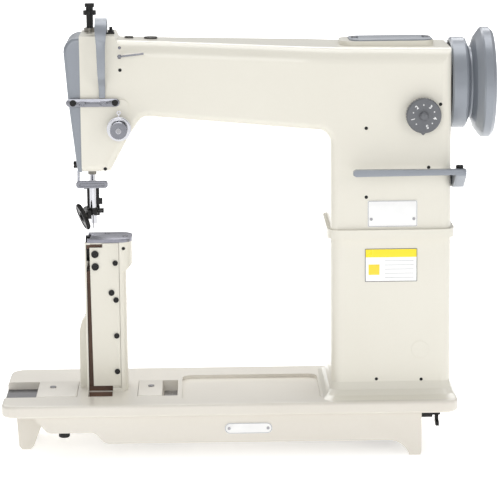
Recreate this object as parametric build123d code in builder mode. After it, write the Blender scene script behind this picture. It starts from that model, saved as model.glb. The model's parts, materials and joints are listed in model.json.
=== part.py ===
from build123d import *
import os
from math import cos, radians, sin

os.makedirs("parts", exist_ok=True)

# Post-bed sewing machine head for leather.
# Frame: +X runs along the bed from the needle to the handwheel, +Y points away from the
# operator, +Z is up. Z = 0 is the plane under the feet; Y = 0 holds the shafts and the needle.

# ---------------------------------------------------------------- driving dimensions, mm
BED_LENGTH = 517
BED_DEPTH = 178
BED_TOP = 64
BED_PLATE = 14
BED_LEFT = -280
POST_HEIGHT = 178
NEEDLE_X = -175
SHAFT_Z = 414.5
LOWER_SHAFT_Z = 34
SHAFT_R = 7.5
WALL = 7
RUNNING = 0.05
GAP = 0.3

BED_RIGHT = BED_LEFT + BED_LENGTH
BED_MID = (BED_LEFT + BED_RIGHT) / 2
BED_UNDER = BED_TOP - BED_PLATE
POST_TOP = BED_TOP + POST_HEIGHT

# Column and riser
COLUMN_LEFT = 94.5
COLUMN_RIGHT = 230
COLUMN_HALF = 58
COLUMN_MID = (COLUMN_LEFT + COLUMN_RIGHT) / 2
COLUMN_WIDTH = COLUMN_RIGHT - COLUMN_LEFT
CORNER = 12
SEAM_Z = 251
BEAD = 4
BEAD_HEIGHT = 5

# Arm and head
ARM_SPARE = 30
HEAD_LEFT = -185
HEAD_HALF = 38
HEAD_BOTTOM = 322
HEAD_TOP = 475
ARM_TOP_LEFT = 469
ARM_TOP_RIGHT = 458
PAD_TOP = ARM_TOP_RIGHT + 7
ARM_UNDER_LEFT = 384
ARM_UNDER_RIGHT = 368

# Post
POST_LEFT = -185
POST_RIGHT = -138
POST_HALF = 23
BULGE_RIGHT = -131
PLATE_THICK = 4
POST_CAST_TOP = POST_TOP - PLATE_THICK

# Drive
HOOK_X = -156
TAKEUP_X = -161
HOOK_R = 17
PULLEY_X = 165
PULLEY_R = 24
PULLEY_WIDTH = 22
BELT_THICK = 3

# Channel cut along the bed for the cover plates
CHANNEL_FRONT = -46.5
CHANNEL_BACK = 25
CHANNEL_DEPTH = CHANNEL_BACK - CHANNEL_FRONT
CHANNEL_Y = (CHANNEL_FRONT + CHANNEL_BACK) / 2
COVER_THICK = 3


# ---------------------------------------------------------------- bed casting
APRON_Y = 83
APRON_THICK = 7
FOOT_LEFT = 181
FOOT_RIGHT = 195
WINDOW_LEFT = -98.5
WINDOW_RIGHT = -81
OPEN_END = -243
LEFT_COVER_RIGHT = -196
RIGHT_COVER_LEFT = -127
PAN_LEFT = -76
PAN_RIGHT = 82
PAN_FRONT = -69
PAN_BACK = 48
PAN_DEPTH = 4

with BuildPart() as bed:
    with BuildSketch(Plane.XY.offset(BED_UNDER)):
        with Locations((BED_MID, 0)):
            RectangleRounded(BED_LENGTH, BED_DEPTH, 18)
    extrude(amount=BED_PLATE)
    top_rim = bed.faces().sort_by(Axis.Z)[-1].edges()
    fillet(top_rim, 3.5)
    bottom_rim = bed.faces().sort_by(Axis.Z)[0].edges()
    fillet(bottom_rim, 3)
    # front apron with its deeper middle and the foot at its right end
    with BuildSketch(Plane.XZ.offset(APRON_Y)):
        with BuildLine():
            Polyline((-244, BED_UNDER + 2), (-244, BED_UNDER), (-229, 32.5), (-224, 31), (-180, 31))
            Spline((-180, 31), (-169, 24.5), (-158, 18), tangents=((1, 0), (1, 0)))
            Line((-158, 18), (160, 17.5))
            RadiusArc((160, 17.5), (FOOT_LEFT, 0), 24)
            Polyline((FOOT_LEFT, 0), (FOOT_RIGHT - 1, 0), (FOOT_RIGHT, 6),
                     (FOOT_RIGHT, BED_UNDER + 2), (-244, BED_UNDER + 2))
        make_face()
    extrude(amount=-APRON_THICK)
    # rear apron is the same wall at the back
    with BuildSketch(Plane.XZ.offset(-APRON_Y + APRON_THICK)):
        with BuildLine():
            Polyline((-244, BED_UNDER + 2), (-244, BED_UNDER), (-229, 32.5), (-224, 31), (-180, 31))
            Spline((-180, 31), (-169, 24.5), (-158, 18), tangents=((1, 0), (1, 0)))
            Line((-158, 18), (160, 17.5))
            RadiusArc((160, 17.5), (FOOT_LEFT, 0), 24)
            Polyline((FOOT_LEFT, 0), (FOOT_RIGHT - 1, 0), (FOOT_RIGHT, 6),
                     (FOOT_RIGHT, BED_UNDER + 2), (-244, BED_UNDER + 2))
        make_face()
    extrude(amount=-APRON_THICK)
    # end wall under the right of the bed
    with BuildSketch(Plane.XY.offset(18)):
        with Locations(((FOOT_RIGHT + FOOT_LEFT) / 2 + 3, 0)):
            Rectangle(8, 2 * APRON_Y)
    extrude(amount=BED_UNDER - 17)
    # pair of triangular legs under the left end
    for leg_y in (-36, 16):
        with BuildSketch(Plane.XZ.offset(-leg_y)):
            with BuildLine():
                Polyline((-267, BED_UNDER + 2), (-264, 4), (-261, 0), (-251, 0), (-247, 4),
                         (-234, 38), (-232, BED_UNDER + 2), (-267, BED_UNDER + 2))
            make_face()
        extrude(amount=-20)
    # shallow pan in the top between the window and the column
    with BuildSketch(Plane.XY.offset(BED_TOP)):
        with Locations(((PAN_LEFT + PAN_RIGHT) / 2, (PAN_FRONT + PAN_BACK) / 2)):
            RectangleRounded(PAN_RIGHT - PAN_LEFT, PAN_BACK - PAN_FRONT, 12)
    extrude(amount=-PAN_DEPTH, mode=Mode.SUBTRACT)
    # open end of the channel, seats of the two cover plates
    with BuildSketch(Plane.XY.offset(BED_TOP)):
        with Locations(((BED_LEFT + OPEN_END) / 2 - 5, CHANNEL_Y)):
            Rectangle(OPEN_END - BED_LEFT + 10, CHANNEL_DEPTH)
    extrude(amount=-9, mode=Mode.SUBTRACT)
    with BuildSketch(Plane.XY.offset(BED_TOP)):
        with Locations(((OPEN_END + LEFT_COVER_RIGHT) / 2, CHANNEL_Y)):
            Rectangle(LEFT_COVER_RIGHT - OPEN_END, CHANNEL_DEPTH)
        with Locations(((RIGHT_COVER_LEFT + WINDOW_LEFT) / 2, CHANNEL_Y)):
            Rectangle(WINDOW_LEFT - RIGHT_COVER_LEFT, CHANNEL_DEPTH)
    extrude(amount=-COVER_THICK, mode=Mode.SUBTRACT)
    # openings through the plate: under the covers, the window, the post and the column
    with BuildSketch(Plane.XY.offset(BED_UNDER - 5)):
        with Locations(((WINDOW_LEFT + WINDOW_RIGHT) / 2, CHANNEL_Y)):
            Rectangle(WINDOW_RIGHT - WINDOW_LEFT, CHANNEL_DEPTH)
        with Locations((-219, CHANNEL_Y)):
            Rectangle(36, CHANNEL_DEPTH - 16)
        with Locations(((POST_LEFT + POST_RIGHT) / 2, 0)):
            Rectangle(POST_RIGHT - POST_LEFT - 9, 36)
        with Locations((-169.5, (CHANNEL_FRONT - POST_HALF) / 2)):
            Rectangle(28, -POST_HALF - CHANNEL_FRONT)
        with Locations((PULLEY_X, 0)):
            Rectangle(60, 70)
    extrude(amount=BED_PLATE + 10, mode=Mode.SUBTRACT)
bed.part.label = "bed"
export_step(bed.part, "parts/bed.step")

with BuildPart() as left_cover:
    with BuildSketch(Plane.XY.offset(BED_TOP - COVER_THICK)):
        with Locations(((OPEN_END + LEFT_COVER_RIGHT) / 2, CHANNEL_Y)):
            Rectangle(LEFT_COVER_RIGHT - OPEN_END - 0.6, CHANNEL_DEPTH - 0.6)
    extrude(amount=COVER_THICK + 0.6)
    chamfer(left_cover.faces().sort_by(Axis.Z)[-1].edges(), 0.5)
left_cover.part.label = "bed_cover_left"
export_step(left_cover.part, "parts/bed_cover_left.step")

with BuildPart() as right_cover:
    with BuildSketch(Plane.XY.offset(BED_TOP - COVER_THICK)):
        with Locations(((RIGHT_COVER_LEFT + WINDOW_LEFT) / 2, CHANNEL_Y)):
            Rectangle(WINDOW_LEFT - RIGHT_COVER_LEFT - 0.6, CHANNEL_DEPTH - 0.6)
    extrude(amount=COVER_THICK + 0.6)
    chamfer(right_cover.faces().sort_by(Axis.Z)[-1].edges(), 0.5)
right_cover.part.label = "bed_cover_right"
export_step(right_cover.part, "parts/bed_cover_right.step")

with BuildPart() as drain_plug:
    with BuildSketch(Plane.XY.offset(BED_UNDER)):
        with Locations((-210, -68)):
            Circle(6.4)
    extrude(amount=-27)
    chamfer(drain_plug.faces().sort_by(Axis.Z)[0].edges(), 1)
drain_plug.part.label = "oil_drain_plug"
export_step(drain_plug.part, "parts/oil_drain_plug.step")

# ---------------------------------------------------------------- riser under the column
with BuildPart() as riser:
    with BuildSketch(Plane.XY.offset(BED_TOP)):
        with Locations((COLUMN_MID, 0)):
            RectangleRounded(COLUMN_WIDTH, 2 * COLUMN_HALF, CORNER)
    extrude(amount=SEAM_Z - BED_TOP)
    # flared foot: each step up the cove stands out less
    for low, high, out_low, out_high in ((0, 3, 22, 12), (3, 8, 12, 4.5), (8, 16, 4.5, 0.01)):
        with BuildSketch(Plane.XY.offset(BED_TOP + low)):
            with Locations((COLUMN_MID - out_low * 0.1, 0)):
                RectangleRounded(COLUMN_WIDTH + out_low * 0.7, 2 * COLUMN_HALF + 2 * out_low, CORNER)
        with BuildSketch(Plane.XY.offset(BED_TOP + high)):
            with Locations((COLUMN_MID - out_high * 0.1, 0)):
                RectangleRounded(COLUMN_WIDTH + out_high * 0.7, 2 * COLUMN_HALF + 2 * out_high, CORNER)
        loft()
    # lower half of the bead at the seam
    with BuildSketch(Plane.XY.offset(SEAM_Z - BEAD_HEIGHT)):
        with Locations((COLUMN_MID, 0)):
            RectangleRounded(COLUMN_WIDTH + 2 * BEAD, 2 * (COLUMN_HALF + BEAD), CORNER + BEAD)
    extrude(amount=BEAD_HEIGHT)
    # hollow for the belt
    with BuildSketch(Plane.XY.offset(BED_TOP)):
        with Locations((COLUMN_MID, 0)):
            RectangleRounded(COLUMN_WIDTH - 2 * WALL, 2 * (COLUMN_HALF - WALL), 6)
    extrude(amount=SEAM_Z - BED_TOP, mode=Mode.SUBTRACT)
    # two tapped holes low on the front
    with Locations(Plane.XZ.offset(COLUMN_HALF)):
        with Locations((145.5, 83), (196.5, 82)):
            Hole(1.9, depth=5)
riser.part.label = "column_riser"
export_step(riser.part, "parts/column_riser.step")

# ---------------------------------------------------------------- arm casting
TUBE_HALF = 27
TUBE_FLOOR = 392
TUBE_ROOF = 449
HEAD_WALL_X = -146
COLUMN_ROOF = 448
BAR_HOLE_R = 5
TAKEUP_SLOT = 6

with BuildPart() as arm:
    # side profile of head, arm and upper column
    with BuildSketch(Plane.XZ.offset(COLUMN_HALF)):
        with BuildLine():
            Polyline((HEAD_LEFT, HEAD_BOTTOM), (-153, HEAD_BOTTOM), (-130, 364), (-116, ARM_UNDER_LEFT),
                     (COLUMN_LEFT, ARM_UNDER_RIGHT), (COLUMN_LEFT, SEAM_Z),
                     (COLUMN_RIGHT + ARM_SPARE, SEAM_Z), (COLUMN_RIGHT + ARM_SPARE, ARM_TOP_RIGHT),
                     (112, ARM_TOP_RIGHT + 2), (-143, ARM_TOP_LEFT),
                     (-146, HEAD_TOP), (HEAD_LEFT, HEAD_TOP), (HEAD_LEFT, HEAD_BOTTOM))
        make_face()
        fillet(vertices().sort_by_distance((COLUMN_LEFT, ARM_UNDER_RIGHT))[0], 15)
        fillet(vertices().sort_by_distance((-116, ARM_UNDER_LEFT))[0], 12)
        fillet(vertices().sort_by_distance((-153, HEAD_BOTTOM))[0], 4)
    extrude(amount=-2 * COLUMN_HALF)
    # in plan the arm narrows from the column to the head
    with BuildSketch(Plane.XY.offset(SEAM_Z)):
        with BuildLine():
            Polyline((HEAD_LEFT, -HEAD_HALF), (-100, -HEAD_HALF), (COLUMN_LEFT - 30, -COLUMN_HALF),
                     (COLUMN_RIGHT + ARM_SPARE, -COLUMN_HALF), (COLUMN_RIGHT + ARM_SPARE, COLUMN_HALF),
                     (COLUMN_LEFT - 30, COLUMN_HALF), (-100, HEAD_HALF), (HEAD_LEFT, HEAD_HALF),
                     (HEAD_LEFT, -HEAD_HALF))
        make_face()
        for side in (-1, 1):
            fillet(vertices().sort_by_distance((COLUMN_LEFT - 30, side * COLUMN_HALF))[0], 150)
            fillet(vertices().sort_by_distance((-100, side * HEAD_HALF))[0], 150)
    extrude(amount=HEAD_TOP, mode=Mode.INTERSECT)
    # long soft edges along the top, and the upright edges of the column's left side
    top_edges = arm.edges().filter_by(lambda e: e.center().Z > 456 and e.center().X > -140
                                      and abs(e.center().Y) > 30 and e.length > 60)
    fillet(top_edges, 17)
    under_edges = arm.edges().filter_by(lambda e: 251.5 < e.center().Z < 386
                                        and -150 < e.center().X < 96 and abs(e.center().Y) > 30)
    fillet(under_edges, 8)
    # the right end is cut square, with the column's rounded corners in plan
    with BuildSketch(Plane.XY.offset(SEAM_Z)):
        with Locations(((HEAD_LEFT - ARM_SPARE + COLUMN_RIGHT) / 2, 0)):
            RectangleRounded(COLUMN_RIGHT - HEAD_LEFT + ARM_SPARE, 2 * COLUMN_HALF, CORNER)
    extrude(amount=HEAD_TOP, mode=Mode.INTERSECT)
    # upper half of the bead at the seam
    with BuildSketch(Plane.XY.offset(SEAM_Z)):
        with Locations((COLUMN_MID, 0)):
            RectangleRounded(COLUMN_WIDTH + 2 * BEAD, 2 * (COLUMN_HALF + BEAD), CORNER + BEAD)
    extrude(amount=BEAD_HEIGHT)
    # pad under the top cover plate
    with BuildSketch(Plane.XY.offset(ARM_TOP_RIGHT - 6)):
        with Locations((160, 0)):
            RectangleRounded(106, 56, 16)
    extrude(amount=PAD_TOP - ARM_TOP_RIGHT + 6)
    # raised panel on the front of the head that carries the thread parts
    with BuildSketch(Plane.XZ.offset(HEAD_HALF)):
        with BuildLine():
            Polyline((HEAD_LEFT, HEAD_BOTTOM + 8), (-161, HEAD_BOTTOM + 8), (-141, 366), (-131, 386),
                     (-131, 404), (HEAD_LEFT, 404), (HEAD_LEFT, HEAD_BOTTOM + 8))
        make_face()
        fillet(vertices().sort_by_distance((-131, 404))[0], 7)
    extrude(amount=1.2)
    # hollow head, arm tube and upper column
    with BuildSketch(Plane.XY.offset(HEAD_BOTTOM + 10)):
        with Locations(((HEAD_LEFT + HEAD_WALL_X - 8) / 2 - 2, 0)):
            Rectangle(HEAD_WALL_X - 8 - HEAD_LEFT + 4, 2 * (HEAD_HALF - WALL))
    extrude(amount=HEAD_TOP - 8 - HEAD_BOTTOM - 10, mode=Mode.SUBTRACT)
    with BuildSketch(Plane.YZ.offset(HEAD_WALL_X)):
        with Locations((0, (TUBE_FLOOR + TUBE_ROOF) / 2)):
            RectangleRounded(2 * TUBE_HALF, TUBE_ROOF - TUBE_FLOOR, 12)
    extrude(amount=COLUMN_LEFT + 30 - HEAD_WALL_X, mode=Mode.SUBTRACT)
    with BuildSketch(Plane.XY.offset(SEAM_Z)):
        with Locations((COLUMN_MID, 0)):
            RectangleRounded(COLUMN_WIDTH - 2 * WALL, 2 * (COLUMN_HALF - WALL), 6)
    extrude(amount=COLUMN_ROOF - SEAM_Z, mode=Mode.SUBTRACT)
    # slot in the head for the take-up lever, open at the top
    with BuildSketch(Plane.XZ.offset(HEAD_HALF + 2)):
        with Locations((TAKEUP_X, 445)):
            Rectangle(TAKEUP_SLOT, 78)
    extrude(amount=-12, mode=Mode.SUBTRACT)
    with BuildSketch(Plane.XZ.offset(HEAD_HALF + 2)):
        with Locations((TAKEUP_X, 466)):
            Rectangle(TAKEUP_SLOT, 50)
    extrude(amount=-32, mode=Mode.SUBTRACT)
    # bores for the shaft bushes
    with Locations(Plane.YZ.offset(COLUMN_RIGHT)):
        with Locations((0, SHAFT_Z)):
            Hole(13, depth=WALL + 4)
    with Locations(Plane.YZ.offset(HEAD_WALL_X + 2)):
        with Locations((0, SHAFT_Z)):
            Hole(12, depth=12)
    # bores for needle bar, presser bar and the regulator screw
    with Locations(Plane.XY.offset(HEAD_BOTTOM + 12)):
        with Locations((NEEDLE_X, 0), (NEEDLE_X, 17)):
            Hole(BAR_HOLE_R, depth=20)
    with Locations(Plane.XY.offset(HEAD_TOP)):
        with Locations((NEEDLE_X, 0), (NEEDLE_X, 17)):
            Hole(BAR_HOLE_R, depth=12)
    # bores for the dial spindle, reverse shaft, tension post and the small tapped holes
    with Locations(Plane.XZ.offset(COLUMN_HALF)):
        with Locations((197.5, 385.5)):
            Hole(5, depth=WALL + 4)
        with Locations((134, 371), (134, 293), (204, 326), (217, 397)):
            Hole(2, depth=5)
    with Locations(Plane.YZ.offset(COLUMN_RIGHT)):
        with Locations((-30, 308)):
            Hole(6, depth=WALL + 4)
    with Locations(Plane.XZ.offset(-HEAD_HALF)):
        with Locations((-165, 352)):
            Hole(4, depth=WALL + 2)
    with Locations(Plane.XZ.offset(HEAD_HALF + 1.2)):
        with Locations((-142, 372)):
            Hole(4, depth=10)
    with Locations(Plane.XZ.offset(HEAD_HALF)):
        with Locations((-140, 437), (-158.5, 325.5)):
            Hole(2, depth=5)
arm.part.label = "arm_casting"
export_step(arm.part, "parts/arm_casting.step")

# ---------------------------------------------------------------- covers and trim of the head and arm
FACE_BULGE = 18
FACE_TOP = 473.5
with BuildPart() as face_plate:
    with BuildSketch(Plane.XZ.offset(HEAD_HALF - 1)):
        with BuildLine():
            Polyline((HEAD_LEFT, FACE_TOP), (HEAD_LEFT, HEAD_BOTTOM), (HEAD_LEFT - 5, HEAD_BOTTOM),
                     (HEAD_LEFT - 14, 403), (HEAD_LEFT - FACE_BULGE, 456))
            TangentArc((HEAD_LEFT - FACE_BULGE, 456), (HEAD_LEFT, FACE_TOP), tangent=(-4, 53))
        make_face()
    extrude(amount=-2 * (HEAD_HALF - 1))
    side_edges = face_plate.edges().filter_by(lambda e: abs(e.center().Y) > 30
                                              and e.center().X < HEAD_LEFT - 2.6 and e.center().Z > 330)
    fillet(side_edges, 4.5)
    with BuildSketch(Plane.XZ.offset(HEAD_HALF - 5)):
        with BuildLine():
            Polyline((HEAD_LEFT + 1, HEAD_BOTTOM + 4), (HEAD_LEFT - 2, HEAD_BOTTOM + 4),
                     (HEAD_LEFT - 10, 403), (HEAD_LEFT - 13, 458), (HEAD_LEFT - 8, 467),
                     (HEAD_LEFT + 1, 468), (HEAD_LEFT + 1, HEAD_BOTTOM + 4))
        make_face()
    extrude(amount=-2 * (HEAD_HALF - 5), mode=Mode.SUBTRACT)
face_plate.part.label = "face_plate"
export_step(face_plate.part, "parts/face_plate.step")

COVER_THICK = 1.6
with BuildPart() as top_cover:
    with BuildSketch(Plane.XY.offset(PAD_TOP)):
        with Locations((164.5, 0)):
            RectangleRounded(94, 50, 14)
    extrude(amount=COVER_THICK)
    chamfer(top_cover.faces().sort_by(Axis.Z)[-1].edges(), 0.4)
top_cover.part.label = "top_cover_plate"
export_step(top_cover.part, "parts/top_cover_plate.step")

with BuildPart() as oil_caps:
    for cap_x, cap_r in ((-130.5, 5), (-106, 7.5)):
        cap_z = ARM_TOP_LEFT - (cap_x + 143) * 0.0353 - 1
        with BuildSketch(Plane.XY.offset(cap_z)):
            with Locations((cap_x, 4)):
                Circle(cap_r)
        extrude(amount=3.2)
    fillet(oil_caps.edges().filter_by(GeomType.CIRCLE).group_by(Axis.Z)[-1], 0.8)
oil_caps.part.label = "oil_fill_caps"
export_step(oil_caps.part, "parts/oil_fill_caps.step")

with BuildPart() as sticker:
    with BuildSketch(Plane.XZ.offset(COLUMN_HALF)):
        with Locations((162, 215)):
            RectangleRounded(59, 38, 1)
    extrude(amount=0.4)
sticker.part.label = "blank_label"
export_step(sticker.part, "parts/blank_label.step")

# ---------------------------------------------------------------- upper shaft and handwheel
SHAFT_LEFT = -158
SHAFT_END = 262
WHEEL_FACE = 280
with BuildPart() as main_shaft:
    with BuildSketch(Plane.YZ.offset(SHAFT_LEFT)):
        with Locations((0, SHAFT_Z)):
            Circle(SHAFT_R)
    extrude(amount=SHAFT_END - SHAFT_LEFT)
main_shaft.part.label = "main_shaft"
export_step(main_shaft.part, "parts/main_shaft.step")

with BuildPart() as counterweight:
    with BuildSketch(Plane.YZ.offset(SHAFT_LEFT)):
        with Locations((0, SHAFT_Z)):
            Circle(22)
        with Locations((0, SHAFT_Z + 14)):
            Rectangle(60, 26, mode=Mode.SUBTRACT)
        with Locations((0, SHAFT_Z)):
            Circle(13)
            Circle(SHAFT_R, mode=Mode.SUBTRACT)
    extrude(amount=4)
counterweight.part.label = "crank_counterweight"
export_step(counterweight.part, "parts/crank_counterweight.step")

# Handwheel: hub ring, V-groove for the drive belt and the wide outer flange
WHEEL_LEFT = 231.5
with BuildPart() as handwheel:
    with BuildSketch(Plane.XZ):
        with BuildLine():
            Polyline((WHEEL_LEFT + 4, SHAFT_Z + SHAFT_R), (WHEEL_LEFT + 4, SHAFT_Z + 45),
                     (WHEEL_LEFT, SHAFT_Z + 47), (WHEEL_LEFT, SHAFT_Z + 49.5),
                     (WHEEL_LEFT + 2, SHAFT_Z + 51.5), (247.5, SHAFT_Z + 51.5),
                     (249.5, SHAFT_Z + 50), (253.5, SHAFT_Z + 40.5), (255.5, SHAFT_Z + 40.5),
                     (258.5, SHAFT_Z + 48.5), (259.5, SHAFT_Z + 52), (266, SHAFT_Z + 61),
                     (268, SHAFT_Z + 62.5), (276, SHAFT_Z + 62.5), (WHEEL_FACE, SHAFT_Z + 58.5),
                     (WHEEL_FACE, SHAFT_Z + 54), (272, SHAFT_Z + 50), (272, SHAFT_Z + 20),
                     (276, SHAFT_Z + 18), (276, SHAFT_Z + SHAFT_R), (WHEEL_LEFT + 4, SHAFT_Z + SHAFT_R))
        make_face()
    revolve(axis=Axis((0, 0, SHAFT_Z), (1, 0, 0)))
handwheel.part.label = "handwheel"
export_step(handwheel.part, "parts/handwheel.step")

with BuildPart() as wheel_screw:
    with BuildSketch(Plane.YZ.offset(SHAFT_END)):
        with Locations((0, SHAFT_Z)):
            Circle(SHAFT_R - 0.2)
    extrude(amount=14)
    with BuildSketch(Plane.YZ.offset(276)):
        with Locations((0, SHAFT_Z)):
            Circle(11)
    extrude(amount=3.6)
    with BuildSketch(Plane.YZ.offset(279.6)):
        with Locations((0, SHAFT_Z)):
            Rectangle(24, 2.4)
    extrude(amount=-2, mode=Mode.SUBTRACT)
wheel_screw.part.label = "handwheel_screw"
export_step(wheel_screw.part, "parts/handwheel_screw.step")

with BuildPart() as dust_ring:
    with BuildSketch(Plane.YZ.offset(COLUMN_RIGHT)):
        with Locations((0, SHAFT_Z)):
            Circle(44)
            Circle(38, mode=Mode.SUBTRACT)
    extrude(amount=5)
dust_ring.part.label = "handwheel_dust_ring"
export_step(dust_ring.part, "parts/handwheel_dust_ring.step")

# ---------------------------------------------------------------- timing belt drive down the column
TEETH = 24
for pulley_name, pulley_z in (("upper_belt_pulley", SHAFT_Z), ("lower_belt_pulley", LOWER_SHAFT_Z)):
    with BuildPart() as pulley:
        with BuildSketch(Plane.YZ.offset(PULLEY_X - PULLEY_WIDTH / 2)):
            with Locations((0, pulley_z)):
                Circle(PULLEY_R)
                Circle(SHAFT_R, mode=Mode.SUBTRACT)
        extrude(amount=PULLEY_WIDTH)
        with BuildSketch(Plane.YZ.offset(PULLEY_X - PULLEY_WIDTH / 2)):
            with Locations((0, pulley_z)):
                with PolarLocations(PULLEY_R, TEETH):
                    Rectangle(3, 3)
        extrude(amount=PULLEY_WIDTH, mode=Mode.SUBTRACT)
    pulley.part.label = pulley_name
    export_step(pulley.part, "parts/" + pulley_name + ".step")

with BuildPart() as belt:
    with BuildSketch(Plane.YZ.offset(PULLEY_X - PULLEY_WIDTH / 2 + 1)):
        with Locations((0, (SHAFT_Z + LOWER_SHAFT_Z) / 2)):
            SlotCenterToCenter(SHAFT_Z - LOWER_SHAFT_Z, 2 * (PULLEY_R + GAP + BELT_THICK), rotation=90)
            SlotCenterToCenter(SHAFT_Z - LOWER_SHAFT_Z, 2 * (PULLEY_R + GAP), rotation=90,
                               mode=Mode.SUBTRACT)
    extrude(amount=PULLEY_WIDTH - 2)
belt.part.label = "timing_belt"
export_step(belt.part, "parts/timing_belt.step")

# ---------------------------------------------------------------- lower shaft and bevel drive to the hook
LOWER_LEFT = -147
LOWER_RIGHT = 184
with BuildPart() as lower_shaft:
    with BuildSketch(Plane.YZ.offset(LOWER_LEFT)):
        with Locations((0, LOWER_SHAFT_Z)):
            Circle(SHAFT_R)
    extrude(amount=LOWER_RIGHT - LOWER_LEFT)
lower_shaft.part.label = "lower_shaft"
export_step(lower_shaft.part, "parts/lower_shaft.step")

with BuildPart() as hangers:
    for hanger_x in (-122, 60, 130):
        with BuildSketch(Plane.YZ.offset(hanger_x)):
            with BuildLine():
                Polyline((-20, BED_UNDER), (-16, 26), (-8, 20), (8, 20), (16, 26), (20, BED_UNDER),
                         (-20, BED_UNDER))
            make_face()
            with Locations((0, LOWER_SHAFT_Z)):
                Circle(SHAFT_R + RUNNING, mode=Mode.SUBTRACT)
        extrude(amount=14)
hangers.part.label = "lower_shaft_hangers"
export_step(hangers.part, "parts/lower_shaft_hangers.step")

# Bevel pair: both cones point at the crossing of the two shafts, and the hook turns twice
GEAR_R = 15.6
PINION_R = GEAR_R / 2
CONE_LENGTH = 0.3
gear_face = HOOK_X + PINION_R + GAP
with BuildPart() as lower_bevel:
    with BuildSketch(Plane.XZ):
        with BuildLine():
            Polyline((gear_face, LOWER_SHAFT_Z + SHAFT_R), (gear_face - 2.3, LOWER_SHAFT_Z + SHAFT_R),
                     (gear_face - 2.3, LOWER_SHAFT_Z + GEAR_R * (1 - CONE_LENGTH)),
                     (gear_face, LOWER_SHAFT_Z + GEAR_R), (gear_face + 4, LOWER_SHAFT_Z + GEAR_R - 2),
                     (gear_face + 4, LOWER_SHAFT_Z + 12), (gear_face + 12, LOWER_SHAFT_Z + 12),
                     (gear_face + 12, LOWER_SHAFT_Z + SHAFT_R), (gear_face, LOWER_SHAFT_Z + SHAFT_R))
        make_face()
    revolve(axis=Axis((0, 0, LOWER_SHAFT_Z), (1, 0, 0)))
lower_bevel.part.label = "lower_bevel_gear"
export_step(lower_bevel.part, "parts/lower_bevel_gear.step")

PINION_LOW = LOWER_SHAFT_Z + GEAR_R * (1 - CONE_LENGTH) + 2 * GAP
HOOK_SHAFT_TOP = 212
with BuildPart() as hook_shaft:
    with BuildSketch(Plane.XY.offset(PINION_LOW)):
        with Locations((HOOK_X, 0)):
            Circle(5)
    extrude(amount=HOOK_SHAFT_TOP - PINION_LOW)
hook_shaft.part.label = "hook_shaft"
export_step(hook_shaft.part, "parts/hook_shaft.step")

with BuildPart() as hook_pinion:
    with BuildSketch(Plane.XZ):
        with BuildLine():
            Polyline((HOOK_X + 5, PINION_LOW), (HOOK_X + PINION_R * (1 - CONE_LENGTH), PINION_LOW),
                     (HOOK_X + PINION_R, PINION_LOW + 4.7), (HOOK_X + PINION_R, PINION_LOW + 14),
                     (HOOK_X + 5, PINION_LOW + 14), (HOOK_X + 5, PINION_LOW))
        make_face()
    revolve(axis=Axis((HOOK_X, 0, 0), (0, 0, 1)))
hook_pinion.part.label = "hook_pinion"
export_step(hook_pinion.part, "parts/hook_pinion.step")

# ---------------------------------------------------------------- post
TOP_CORNER = 14
with BuildPart() as post:
    with BuildSketch(Plane.XY.offset(BED_TOP)):
        with Locations(((POST_LEFT + POST_RIGHT) / 2, 0)):
            Rectangle(POST_RIGHT - POST_LEFT, 2 * POST_HALF)
    extrude(amount=POST_CAST_TOP - BED_TOP)
    fillet(post.edges().filter_by(Axis.Z).group_by(Axis.X)[-1], 8)
    # wider hook housing at the top
    with BuildSketch(Plane.XZ.offset(POST_HALF)):
        with BuildLine():
            Polyline((-150, 205), (-138, 205), (BULGE_RIGHT, 212), (BULGE_RIGHT, POST_CAST_TOP),
                     (-150, POST_CAST_TOP), (-150, 205))
        make_face()
    extrude(amount=-2 * POST_HALF)
    fillet(post.edges().filter_by(Axis.Z).group_by(Axis.X)[-1], TOP_CORNER)
    # fin behind the left side, at the foot of the post
    with BuildSketch(Plane.XZ.offset(2)):
        with BuildLine():
            Line((POST_LEFT + 1, BED_TOP), (-194, BED_TOP))
            Line((-194, BED_TOP), (-194, 124))
            Spline((-194, 124), (-192, 138), (POST_LEFT + 1, 150), tangents=((0, 1), (1, 0.5)))
            Line((POST_LEFT + 1, 150), (POST_LEFT + 1, BED_TOP))
        make_face()
    extrude(amount=-18)
    # shaft well, hook chamber and the tall front opening
    with BuildSketch(Plane.XY.offset(BED_TOP)):
        with Locations((-163, 0)):
            Rectangle(40, 2 * POST_HALF - 8)
    extrude(amount=POST_CAST_TOP - BED_TOP, mode=Mode.SUBTRACT)
    with BuildSketch(Plane.XY.offset(211)):
        with Locations((HOOK_X, 0)):
            Circle(HOOK_R + 3.1)
    extrude(amount=POST_CAST_TOP - 211, mode=Mode.SUBTRACT)
    with BuildSketch(Plane.XZ.offset(POST_HALF)):
        with Locations((-166, (70 + 236) / 2)):
            Rectangle(34, 236 - 70)
    extrude(amount=-5, mode=Mode.SUBTRACT)
    with BuildSketch(Plane.XZ.offset(POST_HALF)):
        with Locations((-162, (68 + POST_CAST_TOP) / 2)):
            Rectangle(33, POST_CAST_TOP - 68)
    extrude(amount=-2.5, mode=Mode.SUBTRACT)
    # low window towards the open channel
    with BuildSketch(Plane.XZ.offset(POST_HALF)):
        with Locations((-169.5, 67)):
            Rectangle(28, 8)
    extrude(amount=-5, mode=Mode.SUBTRACT)
    with Locations(Plane.XZ.offset(POST_HALF)):
        with Locations((-140.6, 231)):
            Hole(2, depth=5)
    # pocket in the left wall for the feed wheel
    with BuildSketch(Plane.XY.offset(207)):
        with Locations((-182, 0)):
            Rectangle(10, 34)
    extrude(amount=POST_CAST_TOP - 207, mode=Mode.SUBTRACT)
post.part.label = "post_casting"
export_step(post.part, "parts/post_casting.step")

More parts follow.
